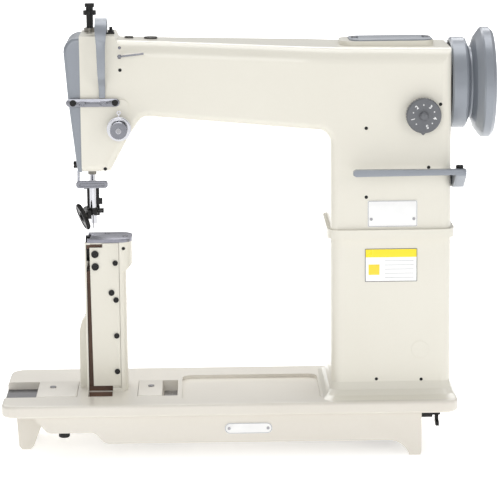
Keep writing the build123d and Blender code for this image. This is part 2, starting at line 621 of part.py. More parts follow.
with BuildPart() as post_cover:
    with BuildSketch(Plane.XZ.offset(POST_HALF)):
        with BuildLine():
            Polyline((-177.5, 70.5), (-146, 70.5), (-146, 237.5), (-164.5, 237.5),
                     (-164.5, 232.5), (-179.2, 232.5), (-177.5, 70.5))
        make_face()
    extrude(amount=-2.3)
post_cover.part.label = "post_front_cover"
export_step(post_cover.part, "parts/post_front_cover.step")

with BuildPart() as bush_block:
    with BuildSketch(Plane.XY.offset(192)):
        with Locations((-163, 0)):
            Rectangle(39.8, 2 * POST_HALF - 8.2)
        with Locations((HOOK_X, 0)):
            Circle(5 + RUNNING, mode=Mode.SUBTRACT)
    extrude(amount=12)
    with BuildSketch(Plane.XY.offset(70)):
        with Locations((-163, 0)):
            Rectangle(39.8, 2 * POST_HALF - 8.2)
        with Locations((HOOK_X, 0)):
            Circle(5 + RUNNING, mode=Mode.SUBTRACT)
        with Locations((-174, 0)):
            Rectangle(12, 24, mode=Mode.SUBTRACT)
    extrude(amount=12)
bush_block.part.label = "hook_shaft_bushes"
export_step(bush_block.part, "parts/hook_shaft_bushes.step")

with BuildPart() as hook:
    with BuildSketch(Plane.XY.offset(HOOK_SHAFT_TOP)):
        with Locations((HOOK_X, 0)):
            Circle(HOOK_R)
    extrude(amount=20)
    with BuildSketch(Plane.XY.offset(HOOK_SHAFT_TOP + 3)):
        with Locations((HOOK_X, 0)):
            Circle(HOOK_R - 3)
    extrude(amount=17, mode=Mode.SUBTRACT)
    # open side where the hook point passes the needle
    with BuildSketch(Plane.XY.offset(HOOK_SHAFT_TOP + 12)):
        with Locations((HOOK_X, -HOOK_R)):
            Rectangle(16, 14)
    extrude(amount=8, mode=Mode.SUBTRACT)
hook.part.label = "rotary_hook"
export_step(hook.part, "parts/rotary_hook.step")

with BuildPart() as bobbin_case:
    with BuildSketch(Plane.XY.offset(HOOK_SHAFT_TOP + 3.5)):
        with Locations((HOOK_X, 0)):
            Circle(HOOK_R - 3.5)
    extrude(amount=16.5)
    with BuildSketch(Plane.XY.offset(HOOK_SHAFT_TOP + 5)):
        with Locations((HOOK_X, 0)):
            Circle(HOOK_R - 5)
    extrude(amount=15, mode=Mode.SUBTRACT)
bobbin_case.part.label = "bobbin_case"
export_step(bobbin_case.part, "parts/bobbin_case.step")

with BuildPart() as bobbin:
    for flange_z, flange_r, flange_h in ((217.4, 11, 1.2), (218.6, 4, 8.8), (227.4, 11, 1.2)):
        with BuildSketch(Plane.XY.offset(flange_z)):
            with Locations((HOOK_X, 0)):
                Circle(flange_r)
        extrude(amount=flange_h)
    with Locations(Plane.XY.offset(228.6)):
        with Locations((HOOK_X, 0)):
            Hole(2.5, depth=12)
bobbin.part.label = "bobbin"
export_step(bobbin.part, "parts/bobbin.step")

FEED_X = -182
FEED_R = 15
FEED_Z = POST_TOP + 0.8 - FEED_R
PLATE_LEFT = -181.8
with BuildPart() as throat_plate:
    with BuildSketch(Plane.XY.offset(POST_CAST_TOP)):
        with Locations(((PLATE_LEFT + BULGE_RIGHT) / 2, 0)):
            Rectangle(BULGE_RIGHT - PLATE_LEFT, 2 * POST_HALF)
    extrude(amount=PLATE_THICK)
    fillet(throat_plate.edges().filter_by(Axis.Z).group_by(Axis.X)[-1], TOP_CORNER)
    with BuildSketch(Plane.XY.offset(POST_CAST_TOP)):
        with Locations((FEED_X, 0)):
            Rectangle(7, 30)
        with Locations((NEEDLE_X, 0)):
            Circle(1.3)
    extrude(amount=PLATE_THICK, mode=Mode.SUBTRACT)
throat_plate.part.label = "throat_plate"
export_step(throat_plate.part, "parts/throat_plate.step")

with BuildPart() as feed_wheel:
    with BuildSketch(Plane.YZ.offset(FEED_X - 2)):
        with Locations((0, FEED_Z)):
            Circle(FEED_R)
            Circle(3 + RUNNING, mode=Mode.SUBTRACT)
            with PolarLocations(FEED_R, 48):
                Rectangle(1, 0.9, mode=Mode.SUBTRACT)
    extrude(amount=4)
feed_wheel.part.label = "feed_wheel"
export_step(feed_wheel.part, "parts/feed_wheel.step")

with BuildPart() as feed_axle:
    with BuildSketch(Plane.YZ.offset(POST_LEFT + 0.6)):
        with Locations((0, FEED_Z)):
            Circle(3)
    extrude(amount=6.6)
    with BuildSketch(Plane.YZ.offset(-178.4)):
        with Locations((0, 218)):
            Rectangle(12, 26)
    extrude(amount=1.6)
feed_axle.part.label = "feed_wheel_bracket"
export_step(feed_axle.part, "parts/feed_wheel_bracket.step")

# ---------------------------------------------------------------- needle bar and take-up
BAR_R = 3.6
NEEDLE_BAR_TOP = 466
NEEDLE_BAR_LOW = 268
with BuildPart() as needle_bar:
    with BuildSketch(Plane.XY.offset(NEEDLE_BAR_LOW)):
        with Locations((NEEDLE_X, 0)):
            Circle(BAR_R)
    extrude(amount=NEEDLE_BAR_TOP - NEEDLE_BAR_LOW)
    with BuildSketch(Plane.XY.offset(NEEDLE_BAR_LOW)):
        with Locations((NEEDLE_X, 0)):
            Circle(1)
    extrude(amount=12, mode=Mode.SUBTRACT)
needle_bar.part.label = "needle_bar"
export_step(needle_bar.part, "parts/needle_bar.step")

with BuildPart() as needle:
    with BuildSketch(Plane.XY.offset(NEEDLE_BAR_LOW + 12)):
        with Locations((NEEDLE_X, 0)):
            Circle(1)
    extrude(amount=-14)
    with BuildSketch(Plane.XY.offset(NEEDLE_BAR_LOW - 2)):
        with Locations((NEEDLE_X, 0)):
            Circle(0.65)
    extrude(amount=-13)
    with BuildSketch(Plane.XY.offset(NEEDLE_BAR_LOW - 15)):
        with Locations((NEEDLE_X, 0)):
            Circle(0.65)
    extrude(amount=-4, taper=8)
needle.part.label = "needle"
export_step(needle.part, "parts/needle.step")

with BuildPart() as needle_clamp:
    with BuildSketch(Plane.XY.offset(NEEDLE_BAR_LOW)):
        with Locations((NEEDLE_X, 0)):
            Circle(5.4)
            Circle(BAR_R, mode=Mode.SUBTRACT)
    extrude(amount=7)
    with BuildSketch(Plane.YZ.offset(NEEDLE_X + 5)):
        with Locations((0, NEEDLE_BAR_LOW + 3.5)):
            Circle(2.6)
    extrude(amount=4)
needle_clamp.part.label = "needle_clamp"
export_step(needle_clamp.part, "parts/needle_clamp.step")

BUSH_R = 5
PRESSER_Y = 17
with BuildPart() as bar_bushes:
    for bush_y, bush_z, bush_h in ((0, HEAD_BOTTOM - 8, 22), (0, HEAD_TOP - 35, 35),
                                   (PRESSER_Y, HEAD_BOTTOM - 4, 18)):
        with BuildSketch(Plane.XY.offset(bush_z)):
            with Locations((NEEDLE_X, bush_y)):
                Circle(BUSH_R)
                Circle(BAR_R + RUNNING, mode=Mode.SUBTRACT)
        extrude(amount=bush_h)
    # threaded collar of the pressure screw
    with BuildSketch(Plane.XY.offset(HEAD_TOP)):
        with Locations((NEEDLE_X, PRESSER_Y)):
            Circle(7)
            Circle(4 + RUNNING, mode=Mode.SUBTRACT)
    extrude(amount=4.5)
bar_bushes.part.label = "bar_bushes"
export_step(bar_bushes.part, "parts/bar_bushes.step")

TAKEUP_Y = -8
TAKEUP_Z = 446
TAKEUP_REACH = 44
TAKEUP_THICK = 3
EYE_Y = TAKEUP_Y - TAKEUP_REACH * cos(radians(46))
EYE_Z = TAKEUP_Z + TAKEUP_REACH * sin(radians(46))
with BuildPart() as take_up:
    with BuildSketch(Plane.YZ.offset(TAKEUP_X - TAKEUP_THICK / 2)):
        with BuildLine():
            Polyline((TAKEUP_Y - 5, TAKEUP_Z - 2), (TAKEUP_Y + 5, TAKEUP_Z - 3),
                     (TAKEUP_Y + 5, TAKEUP_Z + 5), (EYE_Y + 2.2, EYE_Z + 2.8),
                     (EYE_Y - 2.2, EYE_Z - 2.8), (TAKEUP_Y - 5, TAKEUP_Z - 2))
        make_face()
        with Locations((EYE_Y, EYE_Z)):
            Circle(3.5)
        with Locations((TAKEUP_Y, TAKEUP_Z)):
            Circle(7)
            Circle(3 + RUNNING, mode=Mode.SUBTRACT)
        with Locations((EYE_Y, EYE_Z)):
            Circle(1.4, mode=Mode.SUBTRACT)
    extrude(amount=TAKEUP_THICK)
take_up.part.label = "take_up_lever"
export_step(take_up.part, "parts/take_up_lever.step")

with BuildPart() as take_up_pin:
    with BuildSketch(Plane.YZ.offset(TAKEUP_X - 2)):
        with Locations((TAKEUP_Y, TAKEUP_Z)):
            Circle(3)
    extrude(amount=HEAD_WALL_X - 8 - TAKEUP_X + 2)
take_up_pin.part.label = "take_up_pivot_pin"
export_step(take_up_pin.part, "parts/take_up_pivot_pin.step")

# The guard is a strip bowed out in front of the lever's path, wide at the top and narrow below
GUARD_X = TAKEUP_X + 0.7
GUARD_TOP_HALF = 6.7
with BuildPart() as guard:
    with BuildSketch(Plane.YZ.offset(GUARD_X - GUARD_TOP_HALF)):
        with BuildLine():
            Line((-HEAD_HALF - 2.4, 406.2), (-HEAD_HALF - 2.4, 410))
            Spline((-HEAD_HALF - 2.4, 410), (-51, 430), (-56.5, 456), (-54, 478),
                   tangents=((0, 1), (0.3, 1)))
            Spline((-54, 478), (-44, 490.5), (-30, 494), (-17, 490), (-11, HEAD_TOP + 1),
                   tangents=((0.3, 1), (0.15, -1)))
        trace(line_width=2)
    extrude(amount=2 * GUARD_TOP_HALF)
    with BuildSketch(Plane.XZ.offset(70)):
        with BuildLine():
            Polyline((GUARD_X - 3, 400), (GUARD_X + 3, 400), (GUARD_X + 4.3, 435), (GUARD_X + 5, 466),
                     (GUARD_X + GUARD_TOP_HALF, 484), (GUARD_X + GUARD_TOP_HALF, 500),
                     (GUARD_X - GUARD_TOP_HALF, 500), (GUARD_X - GUARD_TOP_HALF, 484),
                     (GUARD_X - 5, 466), (GUARD_X - 4.3, 435), (GUARD_X - 3, 400))
        make_face()
    extrude(amount=-70, mode=Mode.INTERSECT)
guard.part.label = "take_up_guard"
export_step(guard.part, "parts/take_up_guard.step")

# ---------------------------------------------------------------- thread guides and tension
with BuildPart() as guide_plate:
    with BuildSketch(Plane.XZ.offset(HEAD_HALF + 2.5)):
        with Locations((-171, 401)):
            SlotOverall(60, 9)
    extrude(amount=1.2)
    with BuildSketch(Plane.XZ.offset(HEAD_HALF + 1.2)):
        with Locations((-193, 401), (-146, 401)):
            Circle(3.4)
    extrude(amount=1.3)
    with BuildSketch(Plane.XZ.offset(HEAD_HALF + 3.7)):
        with Locations((-183, 400), (-159, 400)):
            SlotOverall(9, 5)
            SlotOverall(6, 2, mode=Mode.SUBTRACT)
    extrude(amount=2.5)
guide_plate.part.label = "thread_guide_plate"
export_step(guide_plate.part, "parts/thread_guide_plate.step")

with BuildPart() as upper_guide:
    with BuildSketch(Plane.XZ.offset(HEAD_HALF)):
        with Locations((-140, 453)):
            Circle(2.6)
    extrude(amount=11)
    with BuildSketch(Plane.YZ.offset(-140)):
        with Locations((-HEAD_HALF - 9, 453)):
            Circle(1.2)
    extrude(amount=25)
    with BuildSketch(Plane.YZ.offset(-115)):
        with Locations((-HEAD_HALF - 9, 453)):
            Circle(1.8)
    extrude(amount=2)
upper_guide.part.label = "upper_thread_guide"
export_step(upper_guide.part, "parts/upper_thread_guide.step")

TENSION_X = -142
TENSION_Z = 372
TENSION_FACE = HEAD_HALF + 1.2
with BuildPart() as tension_post:
    with BuildSketch(Plane.XZ.offset(HEAD_HALF - 6)):
        with Locations((TENSION_X, TENSION_Z)):
            Circle(3)
    extrude(amount=34)
    with BuildSketch(Plane.XZ.offset(TENSION_FACE)):
        with Locations((TENSION_X, TENSION_Z)):
            Circle(12)
            Circle(3, mode=Mode.SUBTRACT)
    extrude(amount=4)
tension_post.part.label = "tension_post"
export_step(tension_post.part, "parts/tension_post.step")

with BuildPart() as tension_discs:
    for disc_y, flare in ((HEAD_HALF + 9, 1.0), (HEAD_HALF + 11.4, -1.0)):
        with BuildSketch(Plane.XZ.offset(disc_y)):
            with Locations((TENSION_X, TENSION_Z)):
                Circle(13.6 - 0.8 * (flare < 0))
                Circle(3, mode=Mode.SUBTRACT)
        extrude(amount=1.6)
    with BuildSketch(Plane.XZ.offset(HEAD_HALF + 13.2)):
        with Locations((TENSION_X, TENSION_Z)):
            Circle(7.5)
            Circle(4, mode=Mode.SUBTRACT)
    extrude(amount=5)
tension_discs.part.label = "tension_discs"
export_step(tension_discs.part, "parts/tension_discs.step")

with BuildPart() as check_spring:
    with BuildSketch(Plane.XZ.offset(HEAD_HALF + 5.4)):
        with Locations((TENSION_X, TENSION_Z)):
            Circle(9)
            Circle(7.4, mode=Mode.SUBTRACT)
    extrude(amount=3)
    with BuildSketch(Plane.XZ.offset(HEAD_HALF + 6)):
        with Locations((TENSION_X, TENSION_Z + 12.5)):
            Rectangle(1.4, 9)
        with Locations((TENSION_X, TENSION_Z + 18)):
            Circle(2.4)
            Circle(1.1, mode=Mode.SUBTRACT)
    extrude(amount=1.4)
check_spring.part.label = "check_spring"
export_step(check_spring.part, "parts/check_spring.step")

with BuildPart() as tension_nut:
    with BuildSketch(Plane.XZ.offset(HEAD_HALF + 18.6)):
        with Locations((TENSION_X, TENSION_Z)):
            Circle(9.5)
            Circle(3 + RUNNING, mode=Mode.SUBTRACT)
            with PolarLocations(9.5, 30):
                Rectangle(0.8, 0.9, mode=Mode.SUBTRACT)
    extrude(amount=8)
tension_nut.part.label = "tension_nut"
export_step(tension_nut.part, "parts/tension_nut.step")

# ---------------------------------------------------------------- presser bar and roller presser
PRESSER_LOW = 254
with BuildPart() as presser_bar:
    with BuildSketch(Plane.XY.offset(PRESSER_LOW)):
        with Locations((NEEDLE_X, PRESSER_Y)):
            Circle(BAR_R)
    extrude(amount=450 - PRESSER_LOW)
    with BuildSketch(Plane.XY.offset(424)):
        with Locations((NEEDLE_X, PRESSER_Y)):
            Circle(5)
    extrude(amount=3)
presser_bar.part.label = "presser_bar"
export_step(presser_bar.part, "parts/presser_bar.step")

with BuildPart() as presser_spring:
    with BuildSketch(Plane.XY.offset(428)):
        with Locations((NEEDLE_X, PRESSER_Y)):
            Circle(6.8)
            Circle(4.6, mode=Mode.SUBTRACT)
    extrude(amount=34)
presser_spring.part.label = "presser_spring"
export_step(presser_spring.part, "parts/presser_spring.step")

with BuildPart() as regulator:
    with BuildSketch(Plane.XY.offset(463)):
        with Locations((NEEDLE_X, PRESSER_Y)):
            Circle(4)
    extrude(amount=31)
    for cap_z, cap_h, cap_r in ((494, 5, 7.5), (499, 4, 4.2), (503, 4, 5.6)):
        with BuildSketch(Plane.XY.offset(cap_z)):
            with Locations((NEEDLE_X, PRESSER_Y)):
                Circle(cap_r)
        extrude(amount=cap_h)
regulator.part.label = "pressure_screw"
export_step(regulator.part, "parts/pressure_screw.step")

# The roller leans in towards the needle and looks slightly to the front
ROLLER_R = 16
ROLLER_LEAN = 21.2
ROLLER_TURN = 16.2
ROLLER_CENTRE = (-186, -11, 266.5)
roller_plane = Plane(origin=ROLLER_CENTRE,
                     z_dir=Vector(-cos(radians(ROLLER_LEAN)) * cos(radians(ROLLER_TURN)),
                                  -cos(radians(ROLLER_LEAN)) * sin(radians(ROLLER_TURN)),
                                  -sin(radians(ROLLER_LEAN))))
with BuildPart() as roller:
    with BuildSketch(roller_plane.offset(-2.5)):
        Circle(ROLLER_R)
        Circle(3 + RUNNING, mode=Mode.SUBTRACT)
    extrude(amount=5)
    with BuildSketch(roller_plane.offset(2.5)):
        Circle(ROLLER_R - 3)
        Circle(6, mode=Mode.SUBTRACT)
    extrude(amount=-0.8, mode=Mode.SUBTRACT)
roller.part.label = "presser_roller"
export_step(roller.part, "parts/presser_roller.step")

with BuildPart() as roller_axle:
    with BuildSketch(roller_plane.offset(-8.5)):
        Circle(3)
    extrude(amount=12)
    with BuildSketch(roller_plane.offset(3)):
        Circle(4.4)
    extrude(amount=1.2)
roller_axle.part.label = "roller_axle"
export_step(roller_axle.part, "parts/roller_axle.step")

with BuildPart() as roller_arm:
    with BuildSketch(Plane.XY.offset(264)):
        with BuildLine():
            Polyline((-168, 10.5), (-168, 24), (-183, 24), (-186.5, 18), (-186.5, 6), (-184.8, 0),
                     (-183.2, -5), (-182, -9), (-180.5, -13), (-176.5, -12), (-177, -7.2),
                     (-181.2, -3), (-181.2, 3), (-178, 10.5), (-168, 10.5))
        make_face()
        with Locations((NEEDLE_X, PRESSER_Y)):
            Circle(BAR_R, mode=Mode.SUBTRACT)
    extrude(amount=9)
    with BuildSketch(Plane.YZ.offset(-168)):
        with Locations((PRESSER_Y, 268.5)):
            Circle(2.8)
    extrude(amount=4.5)
    # back plate that stands up behind the needle bar
    with BuildSketch(Plane.XZ.offset(-11)):
        with BuildLine():
            Polyline((-182, 266), (-168, 266), (-168, 299), (-185.5, 299), (-185.5, 295.5),
                     (-182, 295.5), (-182, 266))
        make_face()
        with Locations((-166.5, 281)):
            Rectangle(4, 7)
    extrude(amount=3.5)
roller_arm.part.label = "roller_presser_arm"
export_step(roller_arm.part, "parts/roller_presser_arm.step")

# chrome finger guard hung under the head
with BuildPart() as finger_guard:
    with BuildSketch(Plane.XZ.offset(24)):
        with Locations((-174.5, 306)):
            RectangleRounded(36, 8.5, 3.5)
            RectangleRounded(28, 3, 1.2, mode=Mode.SUBTRACT)
    extrude(amount=2)
    with BuildSketch(Plane.XZ.offset(24)):
        with Locations((-189.5, 314)):
            Rectangle(3, 16)
    extrude(amount=1.2)
finger_guard.part.label = "finger_guard"
export_step(finger_guard.part, "parts/finger_guard.step")

# ---------------------------------------------------------------- stitch dial and reverse lever
DIAL_X = 197.5
DIAL_Z = 385.5
DIAL_R = 19.5
with BuildPart() as dial:
    with BuildSketch(Plane.XZ.offset(COLUMN_HALF + 2.5)):
        with Locations((DIAL_X, DIAL_Z)):
            Circle(DIAL_R)
    extrude(amount=9)
    chamfer(dial.faces().sort_by(Axis.Y)[0].edges(), 1.2)
    with BuildSketch(Plane.XZ.offset(COLUMN_HALF - WALL)):
        with Locations((DIAL_X, DIAL_Z)):
            Circle(5 - RUNNING)
    extrude(amount=WALL + 2.5)
    with BuildSketch(Plane.XZ.offset(COLUMN_HALF + 11.5)):
        with Locations((DIAL_X, DIAL_Z)):
            Circle(4.4)
    extrude(amount=2.4)
    # scalloped grip
    with BuildSketch(Plane.XZ.offset(COLUMN_HALF + 2.5)):
        with Locations((DIAL_X, DIAL_Z)):
            with PolarLocations(DIAL_R + 0.4, 36):
                Circle(0.9)
    extrude(amount=7, mode=Mode.SUBTRACT)
dial.part.label = "stitch_length_dial"
export_step(dial.part, "parts/stitch_length_dial.step")

REVERSE_Y = -30
REVERSE_Z = 308
LEVER_Y = -86
with BuildPart() as reverse_lever:
    # spindle in the column wall
    with BuildSketch(Plane.YZ.offset(COLUMN_RIGHT - WALL)):
        with Locations((REVERSE_Y, REVERSE_Z)):
            Circle(6 - RUNNING)
    extrude(amount=WALL + 14)
    # clamp arm reaching forward beside the column
    with BuildSketch(Plane.YZ.offset(COLUMN_RIGHT + 1.5)):
        with BuildLine():
            Polyline((REVERSE_Y + 9, REVERSE_Z - 9), (REVERSE_Y + 9, REVERSE_Z + 9),
                     (LEVER_Y + 12, REVERSE_Z + 19), (LEVER_Y, REVERSE_Z + 19),
                     (LEVER_Y, REVERSE_Z + 13), (LEVER_Y + 30, REVERSE_Z - 5),
                     (REVERSE_Y + 9, REVERSE_Z - 9))
        make_face()
        fillet(vertices(), 2.5)
    extrude(amount=12)
    # bar across the front of the column
    with BuildSketch(Plane.XZ.offset(-LEVER_Y - 8)):
        with BuildLine():
            Polyline((118, 322), (118, 326), (121, 328), (COLUMN_RIGHT + 10, 327.5),
                     (COLUMN_RIGHT + 10, 321.5), (121, 320.5), (118, 322))
        make_face()
    extrude(amount=8)
    with BuildSketch(Plane.XY.offset(REVERSE_Z + 19)):
        with Locations((COLUMN_RIGHT + 7, LEVER_Y + 12)):
            Circle(4)
    extrude(amount=3.5)
reverse_lever.part.label = "reverse_lever"
export_step(reverse_lever.part, "parts/reverse_lever.step")

# ---------------------------------------------------------------- levers that lift the presser
LIFT_X = -165
LIFT_Z = 352
with BuildPart() as lifter:
    with BuildSketch(Plane.XZ.offset(-HEAD_HALF - 1)):
        with Locations((LIFT_X, LIFT_Z)):
            Circle(8)
        with BuildLine():
            Polyline((LIFT_X - 5, LIFT_Z + 4), (LIFT_X + 22, LIFT_Z + 50), (LIFT_X + 30, LIFT_Z + 48),
                     (LIFT_X + 7, LIFT_Z - 2), (LIFT_X - 5, LIFT_Z + 4))
        make_face()
    extrude(amount=-4)
    with BuildSketch(Plane.XZ.offset(-HEAD_HALF + WALL)):
        with Locations((LIFT_X, LIFT_Z)):
            Circle(4 - RUNNING)
    extrude(amount=-WALL - 1)
lifter.part.label = "presser_lifter_lever"
export_step(lifter.part, "parts/presser_lifter_lever.step")

KNEE_X = 205
KNEE_Y = -60
KNEE_Z = 44
with BuildPart() as knee_lever:
    with BuildSketch(Plane.YZ.offset(FOOT_RIGHT + 1)):
        with Locations((KNEE_Y, KNEE_Z)):
            Circle(3.5)
    extrude(amount=22)
    with BuildSketch(Plane.YZ.offset(FOOT_RIGHT + 1)):
        with Locations((KNEE_Y, KNEE_Z)):
            Circle(6)
    extrude(amount=13)
    with BuildSketch(Plane.YZ.offset(FOOT_RIGHT + 17)):
        with BuildLine():
            Polyline((KNEE_Y - 4, KNEE_Z + 4), (KNEE_Y + 4, KNEE_Z + 4), (KNEE_Y + 4, KNEE_Z - 12),
                     (KNEE_Y - 10, KNEE_Z - 14), (KNEE_Y - 10, KNEE_Z - 9), (KNEE_Y - 4, KNEE_Z - 8),
                     (KNEE_Y - 4, KNEE_Z + 4))
        make_face()
    extrude(amount=4)
knee_lever.part.label = "knee_lift_lever"
export_step(knee_lever.part, "parts/knee_lift_lever.step")

# ---------------------------------------------------------------- bushes, plates and fasteners
with BuildPart() as shaft_bushes:
    for bush_x, bush_r, bush_w in ((HEAD_WALL_X - 7, 12, 12), (COLUMN_RIGHT - WALL - 1, 13, 9)):
        with BuildSketch(Plane.YZ.offset(bush_x)):
            with Locations((0, SHAFT_Z)):
                Circle(bush_r)
                Circle(SHAFT_R + RUNNING, mode=Mode.SUBTRACT)
        extrude(amount=bush_w)
shaft_bushes.part.label = "main_shaft_bushes"
export_step(shaft_bushes.part, "parts/main_shaft_bushes.step")

with BuildPart() as blank_plates:
    with BuildSketch(Plane.XZ.offset(APRON_Y)):
        with Locations((-1, 34.3)):
            SlotOverall(54, 12.5)
    extrude(amount=0.8)
    with BuildSketch(Plane.XZ.offset(COLUMN_HALF)):
        with Locations((163.5, 274)):
            RectangleRounded(56, 30, 1.5)
    extrude(amount=0.8)
blank_plates.part.label = "blank_plates"
export_step(blank_plates.part, "parts/blank_plates.step")

# each screw: the plane it stands on, its place there, head radius, head height, turn of the slot
STEEL_SCREWS = (
    (Plane.XY.offset(BED_TOP + 0.6), -225.5, -3.5, 3.6, 1.2, 10),
    (Plane.XY.offset(BED_TOP + 0.6), -112, -4, 3.6, 1.2, 10),
    (Plane.XY.offset(PAD_TOP + COVER_THICK), 124.5, 0, 4, 1.4, 30),
    (Plane.XY.offset(PAD_TOP + COVER_THICK), 204.5, 0, 4, 1.4, 30),
    (Plane.XY.offset(POST_TOP), -139, -3, 3.2, 0.6, 35),
    (Plane.XY.offset(POST_TOP), -160, 17, 3.2, 0.6, 35),
)
PLATE_RIVETS = ((APRON_Y, -23, 34.3), (APRON_Y, 21, 34.3), (COLUMN_HALF, 139.5, 268), (COLUMN_HALF, 187.5, 268))
with BuildPart() as steel_screws:
    for plane, screw_x, screw_y, head_r, head_h, turn in STEEL_SCREWS:
        with BuildSketch(plane):
            with Locations((screw_x, screw_y)):
                Circle(head_r)
        extrude(amount=head_h)
        with BuildSketch(plane.offset(head_h)):
            with Locations((screw_x, screw_y)):
                Rectangle(2 * head_r + 1, 0.25 * head_r, rotation=turn)
        extrude(amount=-0.5 * head_h, mode=Mode.SUBTRACT)
    for face_y, rivet_x, rivet_z in PLATE_RIVETS:
        with BuildSketch(Plane.XZ.offset(face_y + 0.8)):
            with Locations((rivet_x, rivet_z)):
                Circle(1.7)
        extrude(amount=0.7)
steel_screws.part.label = "steel_screws"
export_step(steel_screws.part, "parts/steel_screws.step")

FRONT_SCREWS = (
    (POST_HALF, -173, 225, 4.2, 1.6, 20),
    (POST_HALF, -173, 210.5, 4.2, 1.6, 20),
    (POST_HALF, -150.2, 214.5, 3.1, 1.6, 20),
    (POST_HALF, -155, 180, 3.4, 1.6, 20),
    (POST_HALF, -150, 171.5, 3.1, 1.6, 20),
    (POST_HALF, -150, 129.5, 3.1, 1.6, 20),
    (POST_HALF, -150, 87.5, 3.1, 1.6, 20),
    (HEAD_HALF + 3.7, -193, 401, 3.6, 2, 0),
    (HEAD_HALF + 3.7, -146, 401, 3.6, 2, 0),
)
FACE_SCREW_X = HEAD_LEFT - 5.8
with BuildPart() as black_screws:
    for face_y, screw_x, screw_z, head_r, head_h, turn in FRONT_SCREWS:
        with BuildSketch(Plane.XZ.offset(face_y)):
            with Locations((screw_x, screw_z)):
                Circle(head_r)
        extrude(amount=head_h)
        with BuildSketch(Plane.XZ.offset(face_y + head_h)):
            with Locations((screw_x, screw_z)):
                Rectangle(2 * head_r + 1, 0.25 * head_r, rotation=turn)
        extrude(amount=-0.5 * head_h, mode=Mode.SUBTRACT)
    with BuildSketch(Plane.YZ.offset(FACE_SCREW_X)):
        with Locations((-25, 329)):
            Circle(4)
    extrude(amount=-4)
    with BuildSketch(Plane.YZ.offset(FACE_SCREW_X - 4)):
        with Locations((-25, 329)):
            Rectangle(9, 1.2)
    extrude(amount=1.4, mode=Mode.SUBTRACT)
black_screws.part.label = "black_screws"
export_step(black_screws.part, "parts/black_screws.step")
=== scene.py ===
# %% [markdown]
# # A post-bed sewing machine for leather
# The machine arrives as a finished design: sixty separate pieces, each already in its place. This
# script gives those pieces their looks. It softens the edges that a foundry or a press would leave
# round, builds the small things that the drawn solids don't show, such as the roller's teeth and
# printed numerals, and makes one material for each kind of surface.

# %% Load the machine
import bpy
import bmesh
import json
from math import cos, pi, radians, sin
from mathutils import Matrix, Vector


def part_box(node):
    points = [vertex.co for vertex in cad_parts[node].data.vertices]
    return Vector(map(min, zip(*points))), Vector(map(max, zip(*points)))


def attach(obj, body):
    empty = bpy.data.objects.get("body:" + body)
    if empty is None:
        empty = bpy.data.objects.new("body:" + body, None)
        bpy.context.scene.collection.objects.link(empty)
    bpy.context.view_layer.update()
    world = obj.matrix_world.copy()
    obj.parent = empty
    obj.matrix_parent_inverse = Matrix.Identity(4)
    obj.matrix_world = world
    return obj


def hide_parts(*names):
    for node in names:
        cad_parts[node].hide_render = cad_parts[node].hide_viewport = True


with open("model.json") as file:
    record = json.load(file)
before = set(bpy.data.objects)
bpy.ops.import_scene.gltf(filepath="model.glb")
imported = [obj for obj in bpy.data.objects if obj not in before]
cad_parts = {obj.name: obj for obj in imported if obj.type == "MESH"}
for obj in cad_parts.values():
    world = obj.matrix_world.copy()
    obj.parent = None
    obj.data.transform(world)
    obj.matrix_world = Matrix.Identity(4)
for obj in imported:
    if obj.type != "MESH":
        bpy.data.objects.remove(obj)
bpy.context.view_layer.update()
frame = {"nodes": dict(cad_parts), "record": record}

# %% [markdown]
# ## Units and places
# Everything is in metres, with X along the bed, Y away from the operator and Z up. Machine drawings
# are in millimetres, so one constant turns them into metres. Places come from the boxes of the
# design's own pieces, so a new piece always lands on the piece it belongs to.

# %% Units and places
MM = 0.001


def middle(node):
    """The centre of a node's box."""
    low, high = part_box(node)
    return (low + high) / 2


def sized(node):
    """A node's lengths along X, Y and Z."""
    low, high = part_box(node)
    return high - low


print("arm length:", round(sized("arm_casting").x, 3))

# %% [markdown]
# ## The camera
# A product picture is taken with a long lens from well back, so that the bed's edges stay nearly
# parallel. The camera stands 2.7 m in front, above the height of the arm, and looks slightly down. A
# tiny roll about the view axis makes the bed lean a little.

# %% Camera
YAW = radians(1.12)
PITCH = radians(10.83)
ROLL = radians(-0.54)
STAND = Vector((-0.048, -2.701, 0.751))
SENSOR = 36.0
LENS = 172.0
VIEW_END = 50

forward = Vector((sin(YAW) * cos(PITCH), cos(YAW) * cos(PITCH), -sin(PITCH)))
level = Vector((cos(YAW), -sin(YAW), 0))
lift = level.cross(forward)
right = level * cos(ROLL) + lift * sin(ROLL)
up = lift * cos(ROLL) - level * sin(ROLL)

camera_data = bpy.data.cameras.new("camera")
camera_data.lens = LENS
camera_data.sensor_width = SENSOR
camera_data.clip_end = VIEW_END
camera = bpy.data.objects.new("camera", camera_data)
bpy.context.scene.collection.objects.link(camera)
turn = Matrix((right, up, -forward)).transposed()
camera.matrix_world = Matrix.Translation(STAND) @ turn.to_4x4()
bpy.context.scene.camera = camera
print("lens:", LENS, "mm")

# %% [markdown]
# ## Writing materials as sums
# A material is a web of nodes, and most of them are arithmetic. Wrapping a socket in a small class
# lets Python's own signs stand for Math nodes, so a worn edge can be written as one line. Every other
# node is made by one method, which sets its options first and its sockets after.

# %% Material tools


class Wire:
    """One output socket, with Python's arithmetic signs on it."""

    def __init__(self, finish, socket):
        self.finish = finish
        self.socket = socket

    def sum(self, operation, left, right):
        return self.finish.node("ShaderNodeMath", {"operation": operation}, {0: left, 1: right})

    def __add__(self, other):
        return self.sum("ADD", self, other)

    def __sub__(self, other):
        return self.sum("SUBTRACT", self, other)

    def __mul__(self, other):
        return self.sum("MULTIPLY", self, other)

    def __gt__(self, other):
        return self.sum("GREATER_THAN", self, other)

    def __lt__(self, other):
        return self.sum("LESS_THAN", self, other)

    __radd__ = __add__


